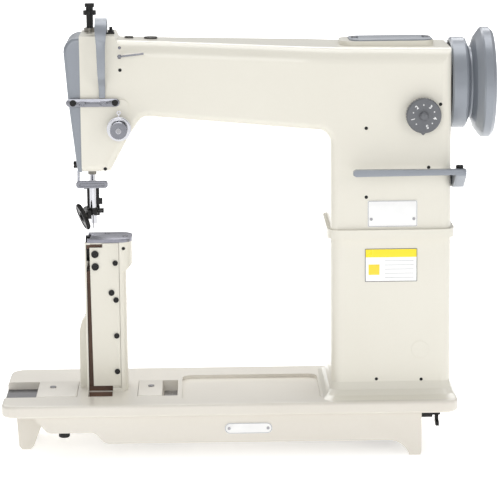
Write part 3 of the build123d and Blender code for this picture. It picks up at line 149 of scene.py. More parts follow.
def paint(red, green, blue):
    """A colour given as on a paint card, 0 to 255, in the linear values that a shader wants."""
    return [(c / 255 / 12.92) if c < 11 else ((c / 255 + 0.055) / 1.055) ** 2.4
            for c in (red, green, blue)] + [1.0]


class Finish:
    """A material: its tree, its shader and a place to read the object's own coordinates."""

    def __init__(self, name, colour, roughness, metallic=0.0, **fixed):
        self.material = bpy.data.materials.new(name)
        self.material.use_nodes = True
        self.tree = self.material.node_tree
        self.shader = self.tree.nodes["Principled BSDF"]
        self.material.diffuse_color = colour
        self.feed("Base Color", colour)
        self.feed("Roughness", roughness)
        self.feed("Metallic", metallic)
        for socket, value in fixed.items():
            self.feed(socket.replace("_", " "), value)
        self.place = self.node("ShaderNodeTexCoord", out="Object")

    def node(self, kind, settings=None, values=None, out=0):
        made = self.tree.nodes.new(kind)
        for key, value in (settings or {}).items():
            setattr(made, key, value)
        for key, value in (values or {}).items():
            self.join(made.inputs[key], value)
        return Wire(self, made.outputs[out])

    def join(self, socket, value):
        if isinstance(value, Wire):
            self.tree.links.new(value.socket, socket)
        else:
            socket.default_value = value

    def feed(self, name, value):
        self.join(self.shader.inputs[name], value)

    def noise(self, scale, detail=2.0, roughness=0.5, stretch=None):
        place = self.place
        if stretch:
            place = self.node("ShaderNodeMapping", {}, {"Vector": place, "Scale": stretch})
        return self.node("ShaderNodeTexNoise", {}, {"Vector": place, "Scale": scale, "Detail": detail,
                                                    "Roughness": roughness})

    def between(self, factor, first, second):
        return self.node("ShaderNodeMix", {"data_type": "RGBA"},
                         {"Factor": factor, 6: first, 7: second}, out=2)

    def bumps(self, *layers):
        """Layers of (height, distance in metres, strength), one on top of the other."""
        normal = None
        for height, distance, strength in layers:
            values = {"Height": height, "Distance": distance, "Strength": strength}
            if normal:
                values["Normal"] = normal
            normal = self.node("ShaderNodeBump", {}, values)
        self.feed("Normal", normal)


print("material tools ready")

# %% [markdown]
# ## Cream enamel
# The castings are ground, filled and sprayed with a thick glossy enamel. Three things make it read as
# paint over iron and not as plastic: a slow waviness left by the filler, a fine orange peel about a
# millimetre across, and a faint unevenness of colour. A coat over the colour gives the wet highlight.

# %% Cream enamel


def enamel(name, light, dark, roughness, wave=0.35):
    finish = Finish(name, light, roughness, Coat_Weight=0.35, Coat_Roughness=0.12)
    clouds = finish.noise(7, 3.0)
    specks = finish.noise(260, 4.0, 0.65)
    shade = clouds * 0.75 + specks * 0.25
    finish.feed("Base Color", finish.between(shade, light, dark))
    finish.feed("Roughness", roughness - 0.05 + clouds * 0.1)
    finish.bumps((finish.noise(16, 1.0), 2.0 * MM, wave), (finish.noise(520, 2.0), 0.05 * MM, 0.3))
    return finish


cream = enamel("cream_enamel", paint(231, 228, 217), paint(221, 217, 204), 0.3)
# The bed and its covers take a slightly darker copy of the same cream enamel. This is painted shade
# for the bed top, which gets less light than the fronts.
shaded_cream_bed = enamel("shaded_cream_bed_enamel", paint(229, 225, 216), paint(216, 210, 199), 0.34)
print("enamel:", cream.material.name, shaded_cream_bed.material.name)

# %% [markdown]
# ## Grey enamel
# The face plate, the handwheel and the levers are grey. The smooth ones carry a satin blue-grey
# paint, with a little metal flake in it. The stitch dial and the lever's clamp are rougher, with the
# dimples of a hammered paint, which a Voronoi pattern gives because its cells are round.

# %% Grey enamel
GREY_LIGHT = paint(152, 157, 164)
GREY_DARK = paint(133, 138, 147)


def grey_paint(name, dimples, roughness, light=GREY_LIGHT, dark=GREY_DARK):
    finish = Finish(name, light, roughness, 0.25, Coat_Weight=0.25, Coat_Roughness=0.2)
    clouds = finish.noise(24, 3.0)
    flake = finish.noise(1500, 1.0)
    cells = finish.node("ShaderNodeTexVoronoi", {"feature": "SMOOTH_F1"},
                        {"Vector": finish.place, "Scale": 700, "Smoothness": 0.6})
    shade = clouds * 0.6 + flake * 0.4
    finish.feed("Base Color", finish.between(shade, light, dark))
    finish.feed("Roughness", roughness + flake * 0.08)
    finish.bumps((finish.noise(30, 1.0), 1.0 * MM, 0.15), (cells, 0.3 * MM, dimples))
    return finish


satin_grey = grey_paint("satin_grey_paint", 0.05, 0.3)
hammered_grey = grey_paint("hammered_grey_paint", 0.5, 0.36)
dial_grey = grey_paint("dial_grey_paint", 0.55, 0.42, paint(116, 118, 122), paint(92, 94, 98))
print("greys:", satin_grey.material.name, hammered_grey.material.name, dial_grey.material.name)

# %% [markdown]
# ## Bare metals
# Ground steel carries fine scratches along the way it was ground, and a little oil that changes its
# gloss in patches. Chrome is the same shader with the scratches almost gone. Black oxide is a thin
# blackened skin, so it is dark and a little metallic, and it rubs through to paler steel in specks.

# %% Bare metals


def metal(name, light, dark, roughness, grain=(1, 1, 14), scratch=0.12, cloud_size=40, flake=0.5):
    finish = Finish(name, light, roughness, 1.0)
    clouds = finish.noise(cloud_size, 4.0, 0.6)
    scratches = finish.noise(380, 3.0, 0.6, grain)
    shade = clouds * (1 - flake) + scratches * flake
    finish.feed("Base Color", finish.between(shade, light, dark))
    finish.feed("Roughness", roughness + clouds * 0.1 + scratches * 0.06 - 0.06)
    finish.bumps((scratches, 0.05 * MM, scratch))
    return finish


def blackened(name, roughness=0.32):
    dark = paint(12, 12, 13)
    finish = Finish(name, dark, roughness, 0.3, Coat_Weight=0.1, Coat_Roughness=0.25,
                    Specular_IOR_Level=0.35)
    clouds = finish.noise(150, 3.0, 0.6)
    rubbed = finish.noise(900, 3.0, 0.7) > 0.68
    finish.feed("Base Color", finish.between(rubbed * 0.5 + clouds * 0.08, dark, paint(112, 110, 108)))
    finish.feed("Roughness", roughness - 0.06 + clouds * 0.14)
    finish.bumps((finish.noise(1400, 2.0), 0.05 * MM, 0.15))
    return finish


chrome = metal("bright_chrome", paint(214, 214, 218), paint(196, 197, 203), 0.12, scratch=0.03)
ground_steel = metal("ground_steel", paint(178, 178, 181), paint(140, 140, 144), 0.26,
                     grain=(14, 1, 1))
plate_steel = metal("polished_plate_steel", paint(158, 158, 168), paint(122, 122, 131), 0.28,
                    grain=(1, 12, 1))
dark_chrome = metal("dark_chrome", paint(150, 151, 157), paint(112, 113, 120), 0.16, scratch=0.05)
collar_steel = metal("collar_steel", paint(150, 147, 140), paint(104, 101, 95), 0.3,
                     grain=(14, 1, 1))
cast_iron = metal("machined_iron", paint(112, 110, 108), paint(72, 70, 68), 0.5,
                  grain=(1, 1, 1), scratch=0.3, cloud_size=90)
alloy = metal("machined_alloy", paint(196, 197, 200), paint(166, 167, 170), 0.34,
              grain=(1, 16, 16))
bronze = metal("sintered_bronze", paint(186, 146, 92), paint(140, 102, 58), 0.42,
               grain=(1, 1, 1), scratch=0.2, cloud_size=120)
black_oxide = blackened("black_oxide")
black_satin = blackened("black_satin_paint", 0.45)
print("metals ready")

# %% [markdown]
# ## Rubber, plates and inner grime
# The timing belt is matt rubber with a fine weave moulded into its back. The name plates are thin
# white-lacquered aluminium, left blank. The inside of the post has never been painted: it is raw
# casting, brown with old oil. The floor of the slide channel is bare machined iron.

# %% Rubber, plates and inner grime
rubber = Finish("belt_rubber", paint(28, 28, 29), 0.7)
rubber_weave = rubber.noise(900, 2.0, 0.5, (1, 6, 1))
rubber.feed("Base Color", rubber.between(rubber_weave, paint(22, 22, 23), paint(44, 44, 45)))
rubber.bumps((rubber_weave, 0.2 * MM, 0.5))

white_lacquer = Finish("white_lacquer", paint(246, 246, 245), 0.35, Coat_Weight=0.3)
lacquer_clouds = white_lacquer.noise(90, 3.0)
white_lacquer.feed("Base Color", white_lacquer.between(lacquer_clouds, paint(249, 249, 248),
                                                       paint(238, 238, 238)))
white_lacquer.feed("Roughness", 0.3 + lacquer_clouds * 0.12)

raw_casting = Finish("oily_raw_casting", paint(92, 66, 52), 0.55)
oil = raw_casting.noise(45, 5.0, 0.65)
grit = raw_casting.noise(650, 3.0, 0.6)
raw_casting.feed("Base Color", raw_casting.between(oil * 0.7 + grit * 0.3, paint(112, 80, 62),
                                                   paint(48, 36, 30)))
raw_casting.feed("Roughness", 0.4 + grit * 0.3)
raw_casting.bumps((grit, 0.4 * MM, 0.6))

channel_iron = metal("channel_iron", paint(118, 118, 120), paint(84, 84, 87), 0.42,
                     grain=(10, 1, 1), scratch=0.2)
print("rubber, plates and grime ready")

# %% [markdown]
# ## The sticker
# A printed film has its pattern in its own plane, so the pattern is worked out from X and Z on the
# object. Comparing a coordinate with a limit gives 0 or 1, and multiplying two such masks gives a
# rectangle. The sticker keeps only its colours: a yellow head band, a yellow square and grey rules.

# %% The sticker
label_low, label_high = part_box("blank_label")
LABEL_RIM = 0.8 * MM
sticker = Finish("printed_film", paint(250, 250, 250), 0.25, Coat_Weight=0.3)
across = sticker.node("ShaderNodeSeparateXYZ", {}, {"Vector": sticker.place}, out="X")
height = Wire(sticker, across.socket.node.outputs["Z"])


def window(x_low, x_high, z_low, z_high):
    """A mask that is 1 inside a rectangle of the sticker."""
    return (across > x_low) * (across < x_high) * (height > z_low) * (height < z_high)


label_size = label_high - label_low
BAND_SHARE = 0.26
LEFT_SHARE = 0.33
RULE_STEP = 2.4 * MM
RULE_THICK = 0.45 * MM
band_low = label_high.z - label_size.z * BAND_SHARE
divider = label_low.x + label_size.x * LEFT_SHARE
inside = window(label_low.x + LABEL_RIM, label_high.x - LABEL_RIM,
                label_low.z + LABEL_RIM, label_high.z - LABEL_RIM)
band = window(label_low.x, label_high.x, band_low, label_high.z)
square = window(label_low.x + 4 * MM, divider - 3 * MM, label_low.z + 8 * MM, label_low.z + 20 * MM)
rule_wave = sticker.node("ShaderNodeMath", {"operation": "PINGPONG"},
                         {0: height - label_low.z, 1: RULE_STEP})
rules = (rule_wave < RULE_THICK) * window(divider + 3 * MM, label_high.x - 4 * MM,
                                        label_low.z + 3.2 * MM, band_low - 3.2 * MM)
film = sticker.between(band, paint(250, 250, 250), paint(250, 226, 20))
film = sticker.between(square, film, paint(246, 218, 48))
film = sticker.between(rules * 0.45, film, paint(120, 120, 124))
sticker.feed("Base Color", sticker.between(inside, paint(112, 112, 108), film))
sticker.feed("Roughness", 0.22 + sticker.noise(60) * 0.12)
print("sticker:", [round(n * 1000, 1) for n in label_size])

# %% [markdown]
# ## Dressing the design's own pieces
# Each piece has a material slot in the record. A table from slot to finish dresses every piece, and a
# short list of exceptions names the pieces whose surface differs from the rest of their slot.

# %% Dress every node
SLOT_FINISH = {
    "cream_paint": cream, "grey_paint": satin_grey, "dark_dial": dial_grey, "black_oxide": black_oxide,
    "chrome": chrome, "bright_steel": ground_steel, "bronze": bronze, "cast_metal": cast_iron,
    "pulley_alloy": alloy, "belt_rubber": rubber, "white_plate": white_lacquer, "label_film": sticker,
}
NODE_FINISH = {
    # The bed and its covers use the darker copy of the cream, which is painted shade.
    "bed": shaded_cream_bed, "bed_cover_left": shaded_cream_bed, "bed_cover_right": shaded_cream_bed,
    "throat_plate": plate_steel, "reverse_lever": hammered_grey, "handwheel_dust_ring": black_satin,
    "feed_wheel_bracket": black_oxide, "oil_drain_plug": black_oxide, "oil_fill_caps": cast_iron,
    "bar_bushes": collar_steel, "tension_nut": dark_chrome, "thread_guide_plate": dark_chrome,
    "feed_wheel": black_oxide, "hook_shaft_bushes": raw_casting, "finger_guard": dark_chrome,
}
node_slot = {part["node"]: part["material_slot"] for part in frame["record"]["subparts"]}


def finish_of(node):
    return NODE_FINISH.get(node, SLOT_FINISH[node_slot[node]])


for node, shown in frame["nodes"].items():
    shown.data.materials.clear()
    shown.data.materials.append(finish_of(node).material)
print("dressed:", len(frame["nodes"]))

# %% [markdown]
# ## Turning a shape into a piece
# A bmesh holds a shape while it is worked on. When it is ready it becomes a mesh on an object that
# stands at the origin, so that patterns in object space stay put. Edges sharper than a set angle are
# marked sharp and the rest are shaded smooth, which keeps turned and bevelled metal crisp.

# %% Finished pieces
SHARP = radians(34)
WELD = 1e-6


def finished(name, shape, body, finish):
    """Make an object of a bmesh, dress it and set it riding on a body."""
    bmesh.ops.remove_doubles(shape, verts=shape.verts, dist=WELD)
    bmesh.ops.recalc_face_normals(shape, faces=shape.faces)
    for face in shape.faces:
        face.smooth = True
    for edge in shape.edges:
        edge.smooth = edge.calc_face_angle(0) < SHARP
    mesh = bpy.data.meshes.new(name)
    shape.to_mesh(mesh)
    shape.free()
    mesh.materials.append(finish.material)
    piece = bpy.data.objects.new(name, mesh)
    bpy.context.scene.collection.objects.link(piece)
    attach(piece, body)
    print(name, "faces:", len(mesh.polygons))
    return piece


def facing(axis, centre):
    """A transform that stands a shape's Z along an axis, at a centre."""
    return Matrix.Translation(centre) @ Vector(axis).to_track_quat("Z", "Y").to_matrix().to_4x4()


def turned(outline, steps=64):
    """Spin (radius, height) points about Z, as a lathe would."""
    shape = bmesh.new()
    points = [shape.verts.new((r, 0, z)) for r, z in outline]
    edges = [shape.edges.new(pair) for pair in zip(points, points[1:])]
    bmesh.ops.spin(shape, geom=points + edges, cent=(0, 0, 0), axis=(0, 0, 1), angle=2 * pi,
                   steps=steps, use_merge=True)
    bmesh.ops.remove_doubles(shape, verts=shape.verts, dist=WELD)
    return shape


def rounded(shape, width, segments=3, sharpest=radians(25)):
    """Bevel every edge that is sharper than an angle."""
    edges = [e for e in shape.edges if e.is_manifold and e.calc_face_angle(0) > sharpest]
    bmesh.ops.bevel(shape, geom=edges, offset=width, offset_type="OFFSET", affect="EDGES",
                    segments=segments, profile=0.5, clamp_overlap=True, material=-1)
    return shape


body_of = {node: body for body, nodes in frame["record"]["behaviour"]["bodies"].items()
           for node in nodes}
print("bodies:", sorted(set(body_of.values())))

# %% [markdown]
# ## Softening the levers and plates
# A design drawing ends its edges in a corner, but no foundry or press leaves one. The cure is a copy
# of the drawn piece, with its loose triangles merged and its flat faces made whole again, and then a
# bevel of the right size on every corner: about a millimetre on levers and a few tenths on plate. The
# copy stands for the drawn piece, which stays behind for collision, hidden.

# %% Soften the drawn pieces
FLAT = radians(1.5)
SEAM = 2e-6


def softened(node, width, segments=3):
    shape = bmesh.new()
    shape.from_mesh(frame["nodes"][node].data)
    bmesh.ops.remove_doubles(shape, verts=shape.verts, dist=SEAM)
    bmesh.ops.dissolve_limit(shape, angle_limit=FLAT, verts=shape.verts, edges=shape.edges,
                             use_dissolve_boundaries=False, delimit=set())
    rounded(shape, width, segments)
    bmesh.ops.triangulate(shape, faces=[f for f in shape.faces if len(f.verts) > 4])
    piece = finished("soft_" + node, shape, body_of[node], finish_of(node))
    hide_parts(node)
    return piece


# The bevel's width in millimetres.
SOFT_EDGES = {
    "bed_cover_left": 0.3, "bed_cover_right": 0.3, "throat_plate": 0.7, "post_front_cover": 0.35,
    "take_up_guard": 0.6, "reverse_lever": 1.2, "presser_lifter_lever": 0.8, "knee_lift_lever": 0.8,
    "roller_presser_arm": 1.0, "needle_clamp": 0.5, "finger_guard": 0.5, "thread_guide_plate": 0.35,
    "take_up_lever": 0.6, "top_cover_plate": 0.8, "blank_plates": 0.15,
}
for node, width in SOFT_EDGES.items():
    softened(node, width * MM)

# %% [markdown]
# ## Tools for small pieces
# Three shapes make nearly every small piece. A block is a cube pulled between two corners. A disc is
# turned on the lathe and stood on a face. A tube follows a list of points: each point carries a ring
# that is square to the way the tube is going, and neighbouring rings are stitched with quads.

# %% Small piece tools


def block(low, high):
    """A box between two corners given in millimetres."""
    low, high = Vector(low) * MM, Vector(high) * MM
    shape = bmesh.new()
    bmesh.ops.create_cube(shape, size=1.0)
    stretch = Matrix.Diagonal(high - low).to_4x4()
    bmesh.ops.transform(shape, verts=shape.verts,
                        matrix=Matrix.Translation((low + high) / 2) @ stretch)
    return shape


def corners(node):
    """The two corners of a node's box, in millimetres."""
    return [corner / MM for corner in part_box(node)]


def stood(shape, axis, centre):
    """Stand a turned shape along an axis at a place in millimetres."""
    bmesh.ops.transform(shape, verts=shape.verts, matrix=facing(axis, Vector(centre) * MM))
    return shape


def disc(radius, thick, steps=32, edge=0.15):
    """A thin turned disc with a small bevel, sitting on Z = 0."""
    outline = [(0, 0), (radius, 0), (radius, thick - edge), (radius - edge, thick), (0, thick)]
    return turned([(r * MM, z * MM) for r, z in outline], steps)


def joined(*shapes):
    """Pour several shapes into one."""
    whole = bmesh.new()
    for shape in shapes:
        part_mesh = bpy.data.meshes.new("part")
        shape.to_mesh(part_mesh)
        shape.free()
        whole.from_mesh(part_mesh)
        bpy.data.meshes.remove(part_mesh)
    return whole


def tube(points, radius, sides=12):
    """A round wire through points in millimetres."""
    places = [Vector(point) * MM for point in points]
    shape = bmesh.new()
    rings = []
    across_wire = None
    for number, place in enumerate(places):
        ahead = places[min(number + 1, len(places) - 1)]
        behind = places[max(number - 1, 0)]
        along = (ahead - behind).normalized()
        guess = across_wire or (Vector((0, 0, 1)) if abs(along.z) < 0.9 else Vector((1, 0, 0)))
        across_wire = (guess - along * guess.dot(along)).normalized()
        over_wire = along.cross(across_wire)
        ring = []
        for step in range(sides):
            swing = 2 * pi * step / sides
            ring.append(shape.verts.new(place + (across_wire * cos(swing) + over_wire * sin(swing))
                                        * radius * MM))
        rings.append(ring)
    for first, second in zip(rings, rings[1:]):
        for step in range(sides):
            beyond = (step + 1) % sides
            shape.faces.new((first[step], first[beyond], second[beyond], second[step]))
    shape.faces.new(rings[0])
    shape.faces.new(rings[-1])
    return shape


print("small piece tools ready")

# %% [markdown]
# ## Bare iron and grime inside the openings
# Where the castings are open, the inside shows: the machined floor of the slide channel, the brown
# oily lining behind the slit of the post and in the well before it, and a strip of bright sheet
# across the little window in the bed.

# %% Linings
# Each line holds a name, the low corner, the high corner and a finish.
LININGS = (
    ("channel_floor", (-279.4, -46, 55.05), (-243.6, 24.5, 55.5), channel_iron),
    ("post_lining", (-182.6, -18.6, 70.6), (-176, -18.1, 204.6), raw_casting),
    ("post_lining_top", (-182.4, -20.4, 230.8), (-164.9, -19.9, 237.4), raw_casting),
    ("well_back", (-182.9, -23.6, 48), (-156.2, -23.2, 63.4), raw_casting),
    ("well_lining", (-182.8, -18.9, 56), (-156.2, -18.5, 71), raw_casting),
)
for name, low, high, finish in LININGS:
    finished(name, block(low, high), "machine", finish)
finished("window_sheet", rounded(block((-97.6, -45.8, 51), (-82, 24.2, 51.8)), 0.2 * MM), "machine",
         ground_steel)

# %% [markdown]
# ## Tapped holes
# A tapped hole looks black because no light gets to its bottom. A dark disc just inside the mouth
# gives that at any angle.

# %% Tapped holes
COLUMN_FACE = -58
HEAD_FACE = -38
MOUTH_DEPTH = 0.5
# Each hole has a place along X, a face, a height and a radius.
HOLES = ((145.5, COLUMN_FACE, 83, 1.9), (196.5, COLUMN_FACE, 82, 1.9), (134, COLUMN_FACE, 371, 2),
         (134, COLUMN_FACE, 293, 2), (204, COLUMN_FACE, 326, 2), (217, COLUMN_FACE, 397, 2),
         (-140, HEAD_FACE, 437, 2), (-158.5, HEAD_FACE, 325.5, 2), (-140.6, -22.2, 231, 2))
finished("tapped_holes", joined(*[stood(disc(radius - 0.06, 0.3, 24, 0.05), (0, -1, 0),
                                        (x, face + MOUTH_DEPTH, z)) for x, face, z, radius in HOLES]),
         "machine", black_satin)

# %% [markdown]
# ## The stitch dial's numbers
# Five numbers stand round the dial with their heads outward and a dot between each pair. A text
# curve knows the shapes of the figures; turned into a mesh, each one is laid on the dial's face. A
# domed button covers the middle. A small diamond on the column stands behind the dial, and its lower
# tip shows under the rim.

# %% Dial
NUMBER_RING = 12.4
NUMBER_HEIGHT = 6.0
NUMBER_SUNK = 0.08
NUMBER_ANGLES = {"1": 196, "2": 129, "3": 54, "4": -12, "5": -73}
DOT_ANGLES = (162, 91.5, 21, -42, 226)
DOT_R = 0.75
DOT_PROUD = 0.02
BUTTON_R = 4.8
BUTTON_HEIGHT = 0.62
BUTTON_SUNK = 2.2
POINTER_SIDE = 12
POINTER_THICK = 2.2
POINTER_DROP = 23.3

dial_mid = middle("stitch_length_dial") / MM
dial_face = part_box("stitch_length_dial")[0].y / MM + 2.4


def on_dial(angle, out):
    """A place on the ring of numbers, in millimetres, measured out from the dial's face."""
    swing = radians(angle)
    return Vector((dial_mid.x + NUMBER_RING * cos(swing), dial_face + out,
                   dial_mid.z + NUMBER_RING * sin(swing)))


upright = Matrix.Rotation(radians(90), 4, "X")
figures = []
for figure, angle in NUMBER_ANGLES.items():
    text = bpy.data.curves.new("figure_" + figure, "FONT")
    text.body = figure
    text.size = NUMBER_HEIGHT * MM
    text.extrude = 0.05 * MM
    text.offset = 0.12 * MM
    text.align_x = "CENTER"
    text.align_y = "CENTER"
    holder = bpy.data.objects.new("figure_" + figure, text)
    flat = holder.to_mesh()
    shape = bmesh.new()
    shape.from_mesh(flat)
    holder.to_mesh_clear()
    bpy.data.objects.remove(holder)
    bpy.data.curves.remove(text)
    leaning = Matrix.Rotation(radians(90) - radians(angle), 4, "Y")
    place = Matrix.Translation(on_dial(angle, -NUMBER_SUNK) * MM)
    bmesh.ops.transform(shape, verts=shape.verts, matrix=place @ leaning @ upright)
    figures.append(shape)
for angle in DOT_ANGLES:
    figures.append(stood(disc(DOT_R, 0.12, 16, 0.03), (0, -1, 0), on_dial(angle, DOT_PROUD)))
finished("dial_figures", joined(*figures), "dial", white_lacquer)

dome = [(BUTTON_R * MM * cos(radians(a)), BUTTON_R * MM * sin(radians(a)) * BUTTON_HEIGHT)
        for a in range(0, 91, 9)]
button = turned([(0, -0.3 * MM)] + [(BUTTON_R * MM, -0.3 * MM)] + dome, 48)
finished("dial_button", stood(button, (0, -1, 0), (dial_mid.x, dial_face - BUTTON_SUNK, dial_mid.z)),
         "dial", dial_grey)

pointer = block((-POINTER_SIDE / 2, -POINTER_THICK, -POINTER_SIDE / 2),
                (POINTER_SIDE / 2, 0, POINTER_SIDE / 2))
pointer_z = dial_mid.z - POINTER_DROP + POINTER_SIDE / 2 ** 0.5
bmesh.ops.transform(rounded(pointer, 0.8 * MM), verts=pointer.verts,
                    matrix=Matrix.Translation(Vector((dial_mid.x, COLUMN_FACE + 0.1, pointer_z)) * MM)
                    @ Matrix.Rotation(radians(45), 4, "Y"))
finished("dial_pointer", pointer, "machine", dial_grey)

# %% [markdown]
# ## The roller presser
# The roller grips leather with fine teeth cut across its rim. The rim is turned in steps, two to a
# tooth, and every second row of points is pulled in a little. Both shoulders are bevelled, so a
# bright line runs round the side. It stands for the plain drawn roller.

# %% Roller
ROLLER_LEAN = radians(21.2)
ROLLER_TURN = radians(16.2)
roller_axis = Vector((-cos(ROLLER_LEAN) * cos(ROLLER_TURN), -cos(ROLLER_LEAN) * sin(ROLLER_TURN),
                      -sin(ROLLER_LEAN)))
ROLLER_R = 15.95
TEETH = 60
TOOTH_DEPTH = 0.55
ROLLER_SECTION = ((3.1, -2.45), (14.4, -2.45), (ROLLER_R - 0.2, -1.2), (ROLLER_R, -0.9),
                  (ROLLER_R, 0.9), (ROLLER_R - 0.2, 1.2), (14.4, 2.45), (13.2, 2.45), (12.6, 1.7),
                  (6.2, 1.7), (5.8, 2.4), (3.1, 2.4), (3.1, -2.45))
roller_shape = turned([(r * MM, z * MM) for r, z in ROLLER_SECTION], 2 * TEETH)
for point in roller_shape.verts:
    reach = Vector((point.co.x, point.co.y))
    if reach.length > (ROLLER_R - 0.4) * MM:
        step = round(reach.angle_signed(Vector((1, 0))) / radians(180 / TEETH))
        if step % 2:
            short = (reach.length - TOOTH_DEPTH * MM) / reach.length
            point.co.x *= short
            point.co.y *= short
roller_place = middle("presser_roller") / MM
toothed_roller = finished("toothed_roller", stood(roller_shape, roller_axis, roller_place), "roller",
                          black_oxide)
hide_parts("presser_roller")

# %% [markdown]
# ## Guards, guides and loose screws
# The finger guard is a strip held in its wire frame. The thread guide on the arm is a short slanting
# wire held by a screw, with a second screw above. The take-up guard's foot is held down by a black
# screw on the head, and the tension stud ends in a bright cap.

# %% Guards and guides
STRIP_LOW = 303.4
STRIP_HIGH = 308.4
WIRE_R = 1.1
WIRE_STEPS = 8
WIRE_INSET = 2.6
UPPER_SCREW_RISE = 9
HEAD_TOP = 475
FOOT_Y = -10
STUD_CAP_R = 2.6

guard_low, guard_high = corners("finger_guard")
finished("guard_strip", rounded(block((guard_low.x + 3, guard_low.y + 0.6, STRIP_LOW),
                                      (guard_high.x - 3, guard_low.y + 1.1, STRIP_HIGH)), 0.15 * MM),
         body_of["finger_guard"], dark_chrome)

guide_low, guide_high = corners("upper_thread_guide")
guide_z = (guide_low.z + guide_high.z) / 2
guide_x = guide_low.x + WIRE_INSET
wire_start = Vector((guide_x, guide_low.y + 3, guide_z))
wire_end = Vector((guide_high.x, guide_low.y + 1.4, guide_z + 3.2))
wire_points = [wire_start.lerp(wire_end, step / WIRE_STEPS) for step in range(WIRE_STEPS + 1)]
guide_wire = joined(
    tube(wire_points, WIRE_R),
    stood(disc(2.7, 1.8, 6, 0.3), (0, -1, 0), (guide_x, guide_low.y + 3.6, guide_z)),
    stood(disc(1.7, 5.2, 24, 0.3), (0, -1, 0), (guide_x, guide_low.y + 5.2, guide_z)),
    stood(disc(1.7, 1.0, 24, 0.4), (0, -1, 0), (guide_x, HEAD_FACE + 0.3, guide_z + UPPER_SCREW_RISE)))
arm_guide = finished("arm_thread_guide", guide_wire, body_of["upper_thread_guide"], dark_chrome)
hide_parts("upper_thread_guide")

guard_foot_low, guard_foot_high = corners("take_up_guard")
foot_x = guard_foot_high.x + 3.4
finished("guard_foot", joined(
    rounded(block((guard_foot_low.x + 8, FOOT_Y - 4, HEAD_TOP),
                  (foot_x + 4, FOOT_Y + 4, HEAD_TOP + 1.6)), 0.3 * MM),
    stood(disc(3.4, 2.8, 6, 0.5), (0, 0, 1), (foot_x, FOOT_Y, HEAD_TOP + 1.5)),
    stood(disc(2.0, 6.4, 24, 0.5), (0, 0, 1), (foot_x, FOOT_Y, HEAD_TOP + 1.5))), "machine",
    black_oxide)

tension_mid = middle("tension_nut") / MM
post_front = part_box("tension_post")[0].y / MM
finished("tension_stud_end", stood(disc(STUD_CAP_R, 0.5, 32, 0.2), (0, -1, 0),
                                   (tension_mid.x, post_front + 0.35, tension_mid.z)),
         "machine", ground_steel)

# %% [markdown]
# ## A pad on the riser and a screw on the lever's clamp
# Low on the riser stands a very thin raised pad, painted over with the casting. The reverse lever's
# clamp is closed by a black cap screw on its boss.

# %% Pad and clamp screw
finished("riser_pad", stood(disc(10, 0.35, 64, 0.3), (0, -1, 0), (195, COLUMN_FACE + 0.05, 117)),
         "machine", cream)
lever_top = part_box("reverse_lever")[1].z
boss_points = [v.co / MM for v in frame["nodes"]["reverse_lever"].data.vertices
               if v.co.z > lever_top - 0.05 * MM]
boss_mid = sum(boss_points, Vector()) / len(boss_points)
finished("clamp_screw", stood(disc(4.3, 3.6, 32, 0.6), (0, 0, 1), boss_mid - Vector((0, 0, 3.3))),
         "reverse", black_oxide)

# %% [markdown]
# ## Borders of the name plates
# A stamped plate has a raised rim. Two of the name plates get a thin dark frame of wire, run round
# just inside their edges.

# %% Plate borders
RIM = 0.22
CORNER_STEPS = 6


def ring_of(x, z, wide, tall, corner, face):
    """Points round a rounded rectangle that stands on a front face."""
    points = []
    for turn_x, turn_z, start in ((1, 1, 0), (-1, 1, 90), (-1, -1, 180), (1, -1, 270)):
        for step in range(CORNER_STEPS + 1):
            swing = radians(start + 90 / CORNER_STEPS * step)
            points.append((x + turn_x * (wide / 2 - corner) + corner * cos(swing), face,
                           z + turn_z * (tall / 2 - corner) + corner * sin(swing)))
    return points + points[:1]


finished("plate_borders", joined(
    tube(ring_of(163.5, 274, 54.6, 28.6, 1.4, COLUMN_FACE - 0.85), RIM, 6),
    tube(ring_of(-1, 34.3, 52.6, 11.2, 5.5, -83.85), RIM, 6)), "machine", dark_chrome)

# %% [markdown]
# ## The floor and the lights
# The stand is a plain pale floor that runs far back, so no horizon shows. The sky is nearly white
# overhead and a soft grey low down, because chrome needs something dark to mirror or it vanishes
# against a white sweep. One big soft box stands beside the camera for the even catalogue light, one
# at the right brings out the handwheel and one above lifts the bed. A very large one over the far
# floor keeps the background white.

# %% Floor and lights
FLOOR_HALF = 30
SKY_STOPS = [(0.0, 0.5), (0.06, 0.42), (0.35, 0.95), (1.0, 1.0)]
SKY_POWER = 0.56
AIM = (0, 0, 0.25)

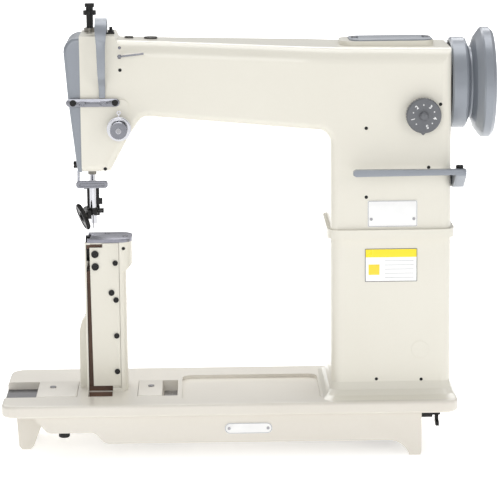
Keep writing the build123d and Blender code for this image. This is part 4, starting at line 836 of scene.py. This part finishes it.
floor_shape = bmesh.new()
bmesh.ops.create_grid(floor_shape, x_segments=1, y_segments=1, size=FLOOR_HALF)
floor_mesh = bpy.data.meshes.new("floor")
floor_shape.to_mesh(floor_mesh)
floor_shape.free()
floor = bpy.data.objects.new("floor", floor_mesh)
bpy.context.scene.collection.objects.link(floor)
pale = Finish("pale_floor", paint(254, 254, 254), 0.95, Specular_IOR_Level=0.1,
              Emission_Color=paint(255, 255, 255), Emission_Strength=0.45)
floor_mesh.materials.append(pale.material)

world = bpy.data.worlds.new("studio")
world.use_nodes = True
sky = world.node_tree
backdrop = sky.nodes["Background"]
heading = sky.nodes.new("ShaderNodeTexCoord")
parts_of_heading = sky.nodes.new("ShaderNodeSeparateXYZ")
sky.links.new(heading.outputs["Generated"], parts_of_heading.inputs["Vector"])
shade_band = sky.nodes.new("ShaderNodeValToRGB")
while len(shade_band.color_ramp.elements) < len(SKY_STOPS):
    shade_band.color_ramp.elements.new(0.5)
for element, (position, brightness) in zip(shade_band.color_ramp.elements, SKY_STOPS):
    element.position = position
    element.color = (brightness, brightness, brightness, 1)
sky.links.new(parts_of_heading.outputs["Z"], shade_band.inputs["Fac"])
sky.links.new(shade_band.outputs["Color"], backdrop.inputs["Color"])
backdrop.inputs["Strength"].default_value = SKY_POWER
bpy.context.scene.world = world
bpy.context.scene.view_settings.view_transform = "Standard"


def soft_box(name, place, aim, width, height, power):
    """A rectangular lamp that looks at a point."""
    data = bpy.data.lights.new(name, "AREA")
    data.shape = "RECTANGLE"
    data.size = width
    data.size_y = height
    data.energy = power
    lamp = bpy.data.objects.new(name, data)
    lamp.matrix_world = facing(Vector(place) - Vector(aim), Vector(place))
    bpy.context.scene.collection.objects.link(lamp)


soft_box("front_box", (-0.5, -2.4, 1.0), AIM, 1.2, 1.0, 11)
soft_box("right_box", (1.6, -1.7, 0.9), AIM, 0.5, 0.9, 5)
soft_box("top_box", (0.2, 0.4, 2.0), AIM, 1.6, 1.0, 14)
soft_box("sweep_box", (0, 3.8, 2.6), (0, 4.2, 0), 6, 3, 180)
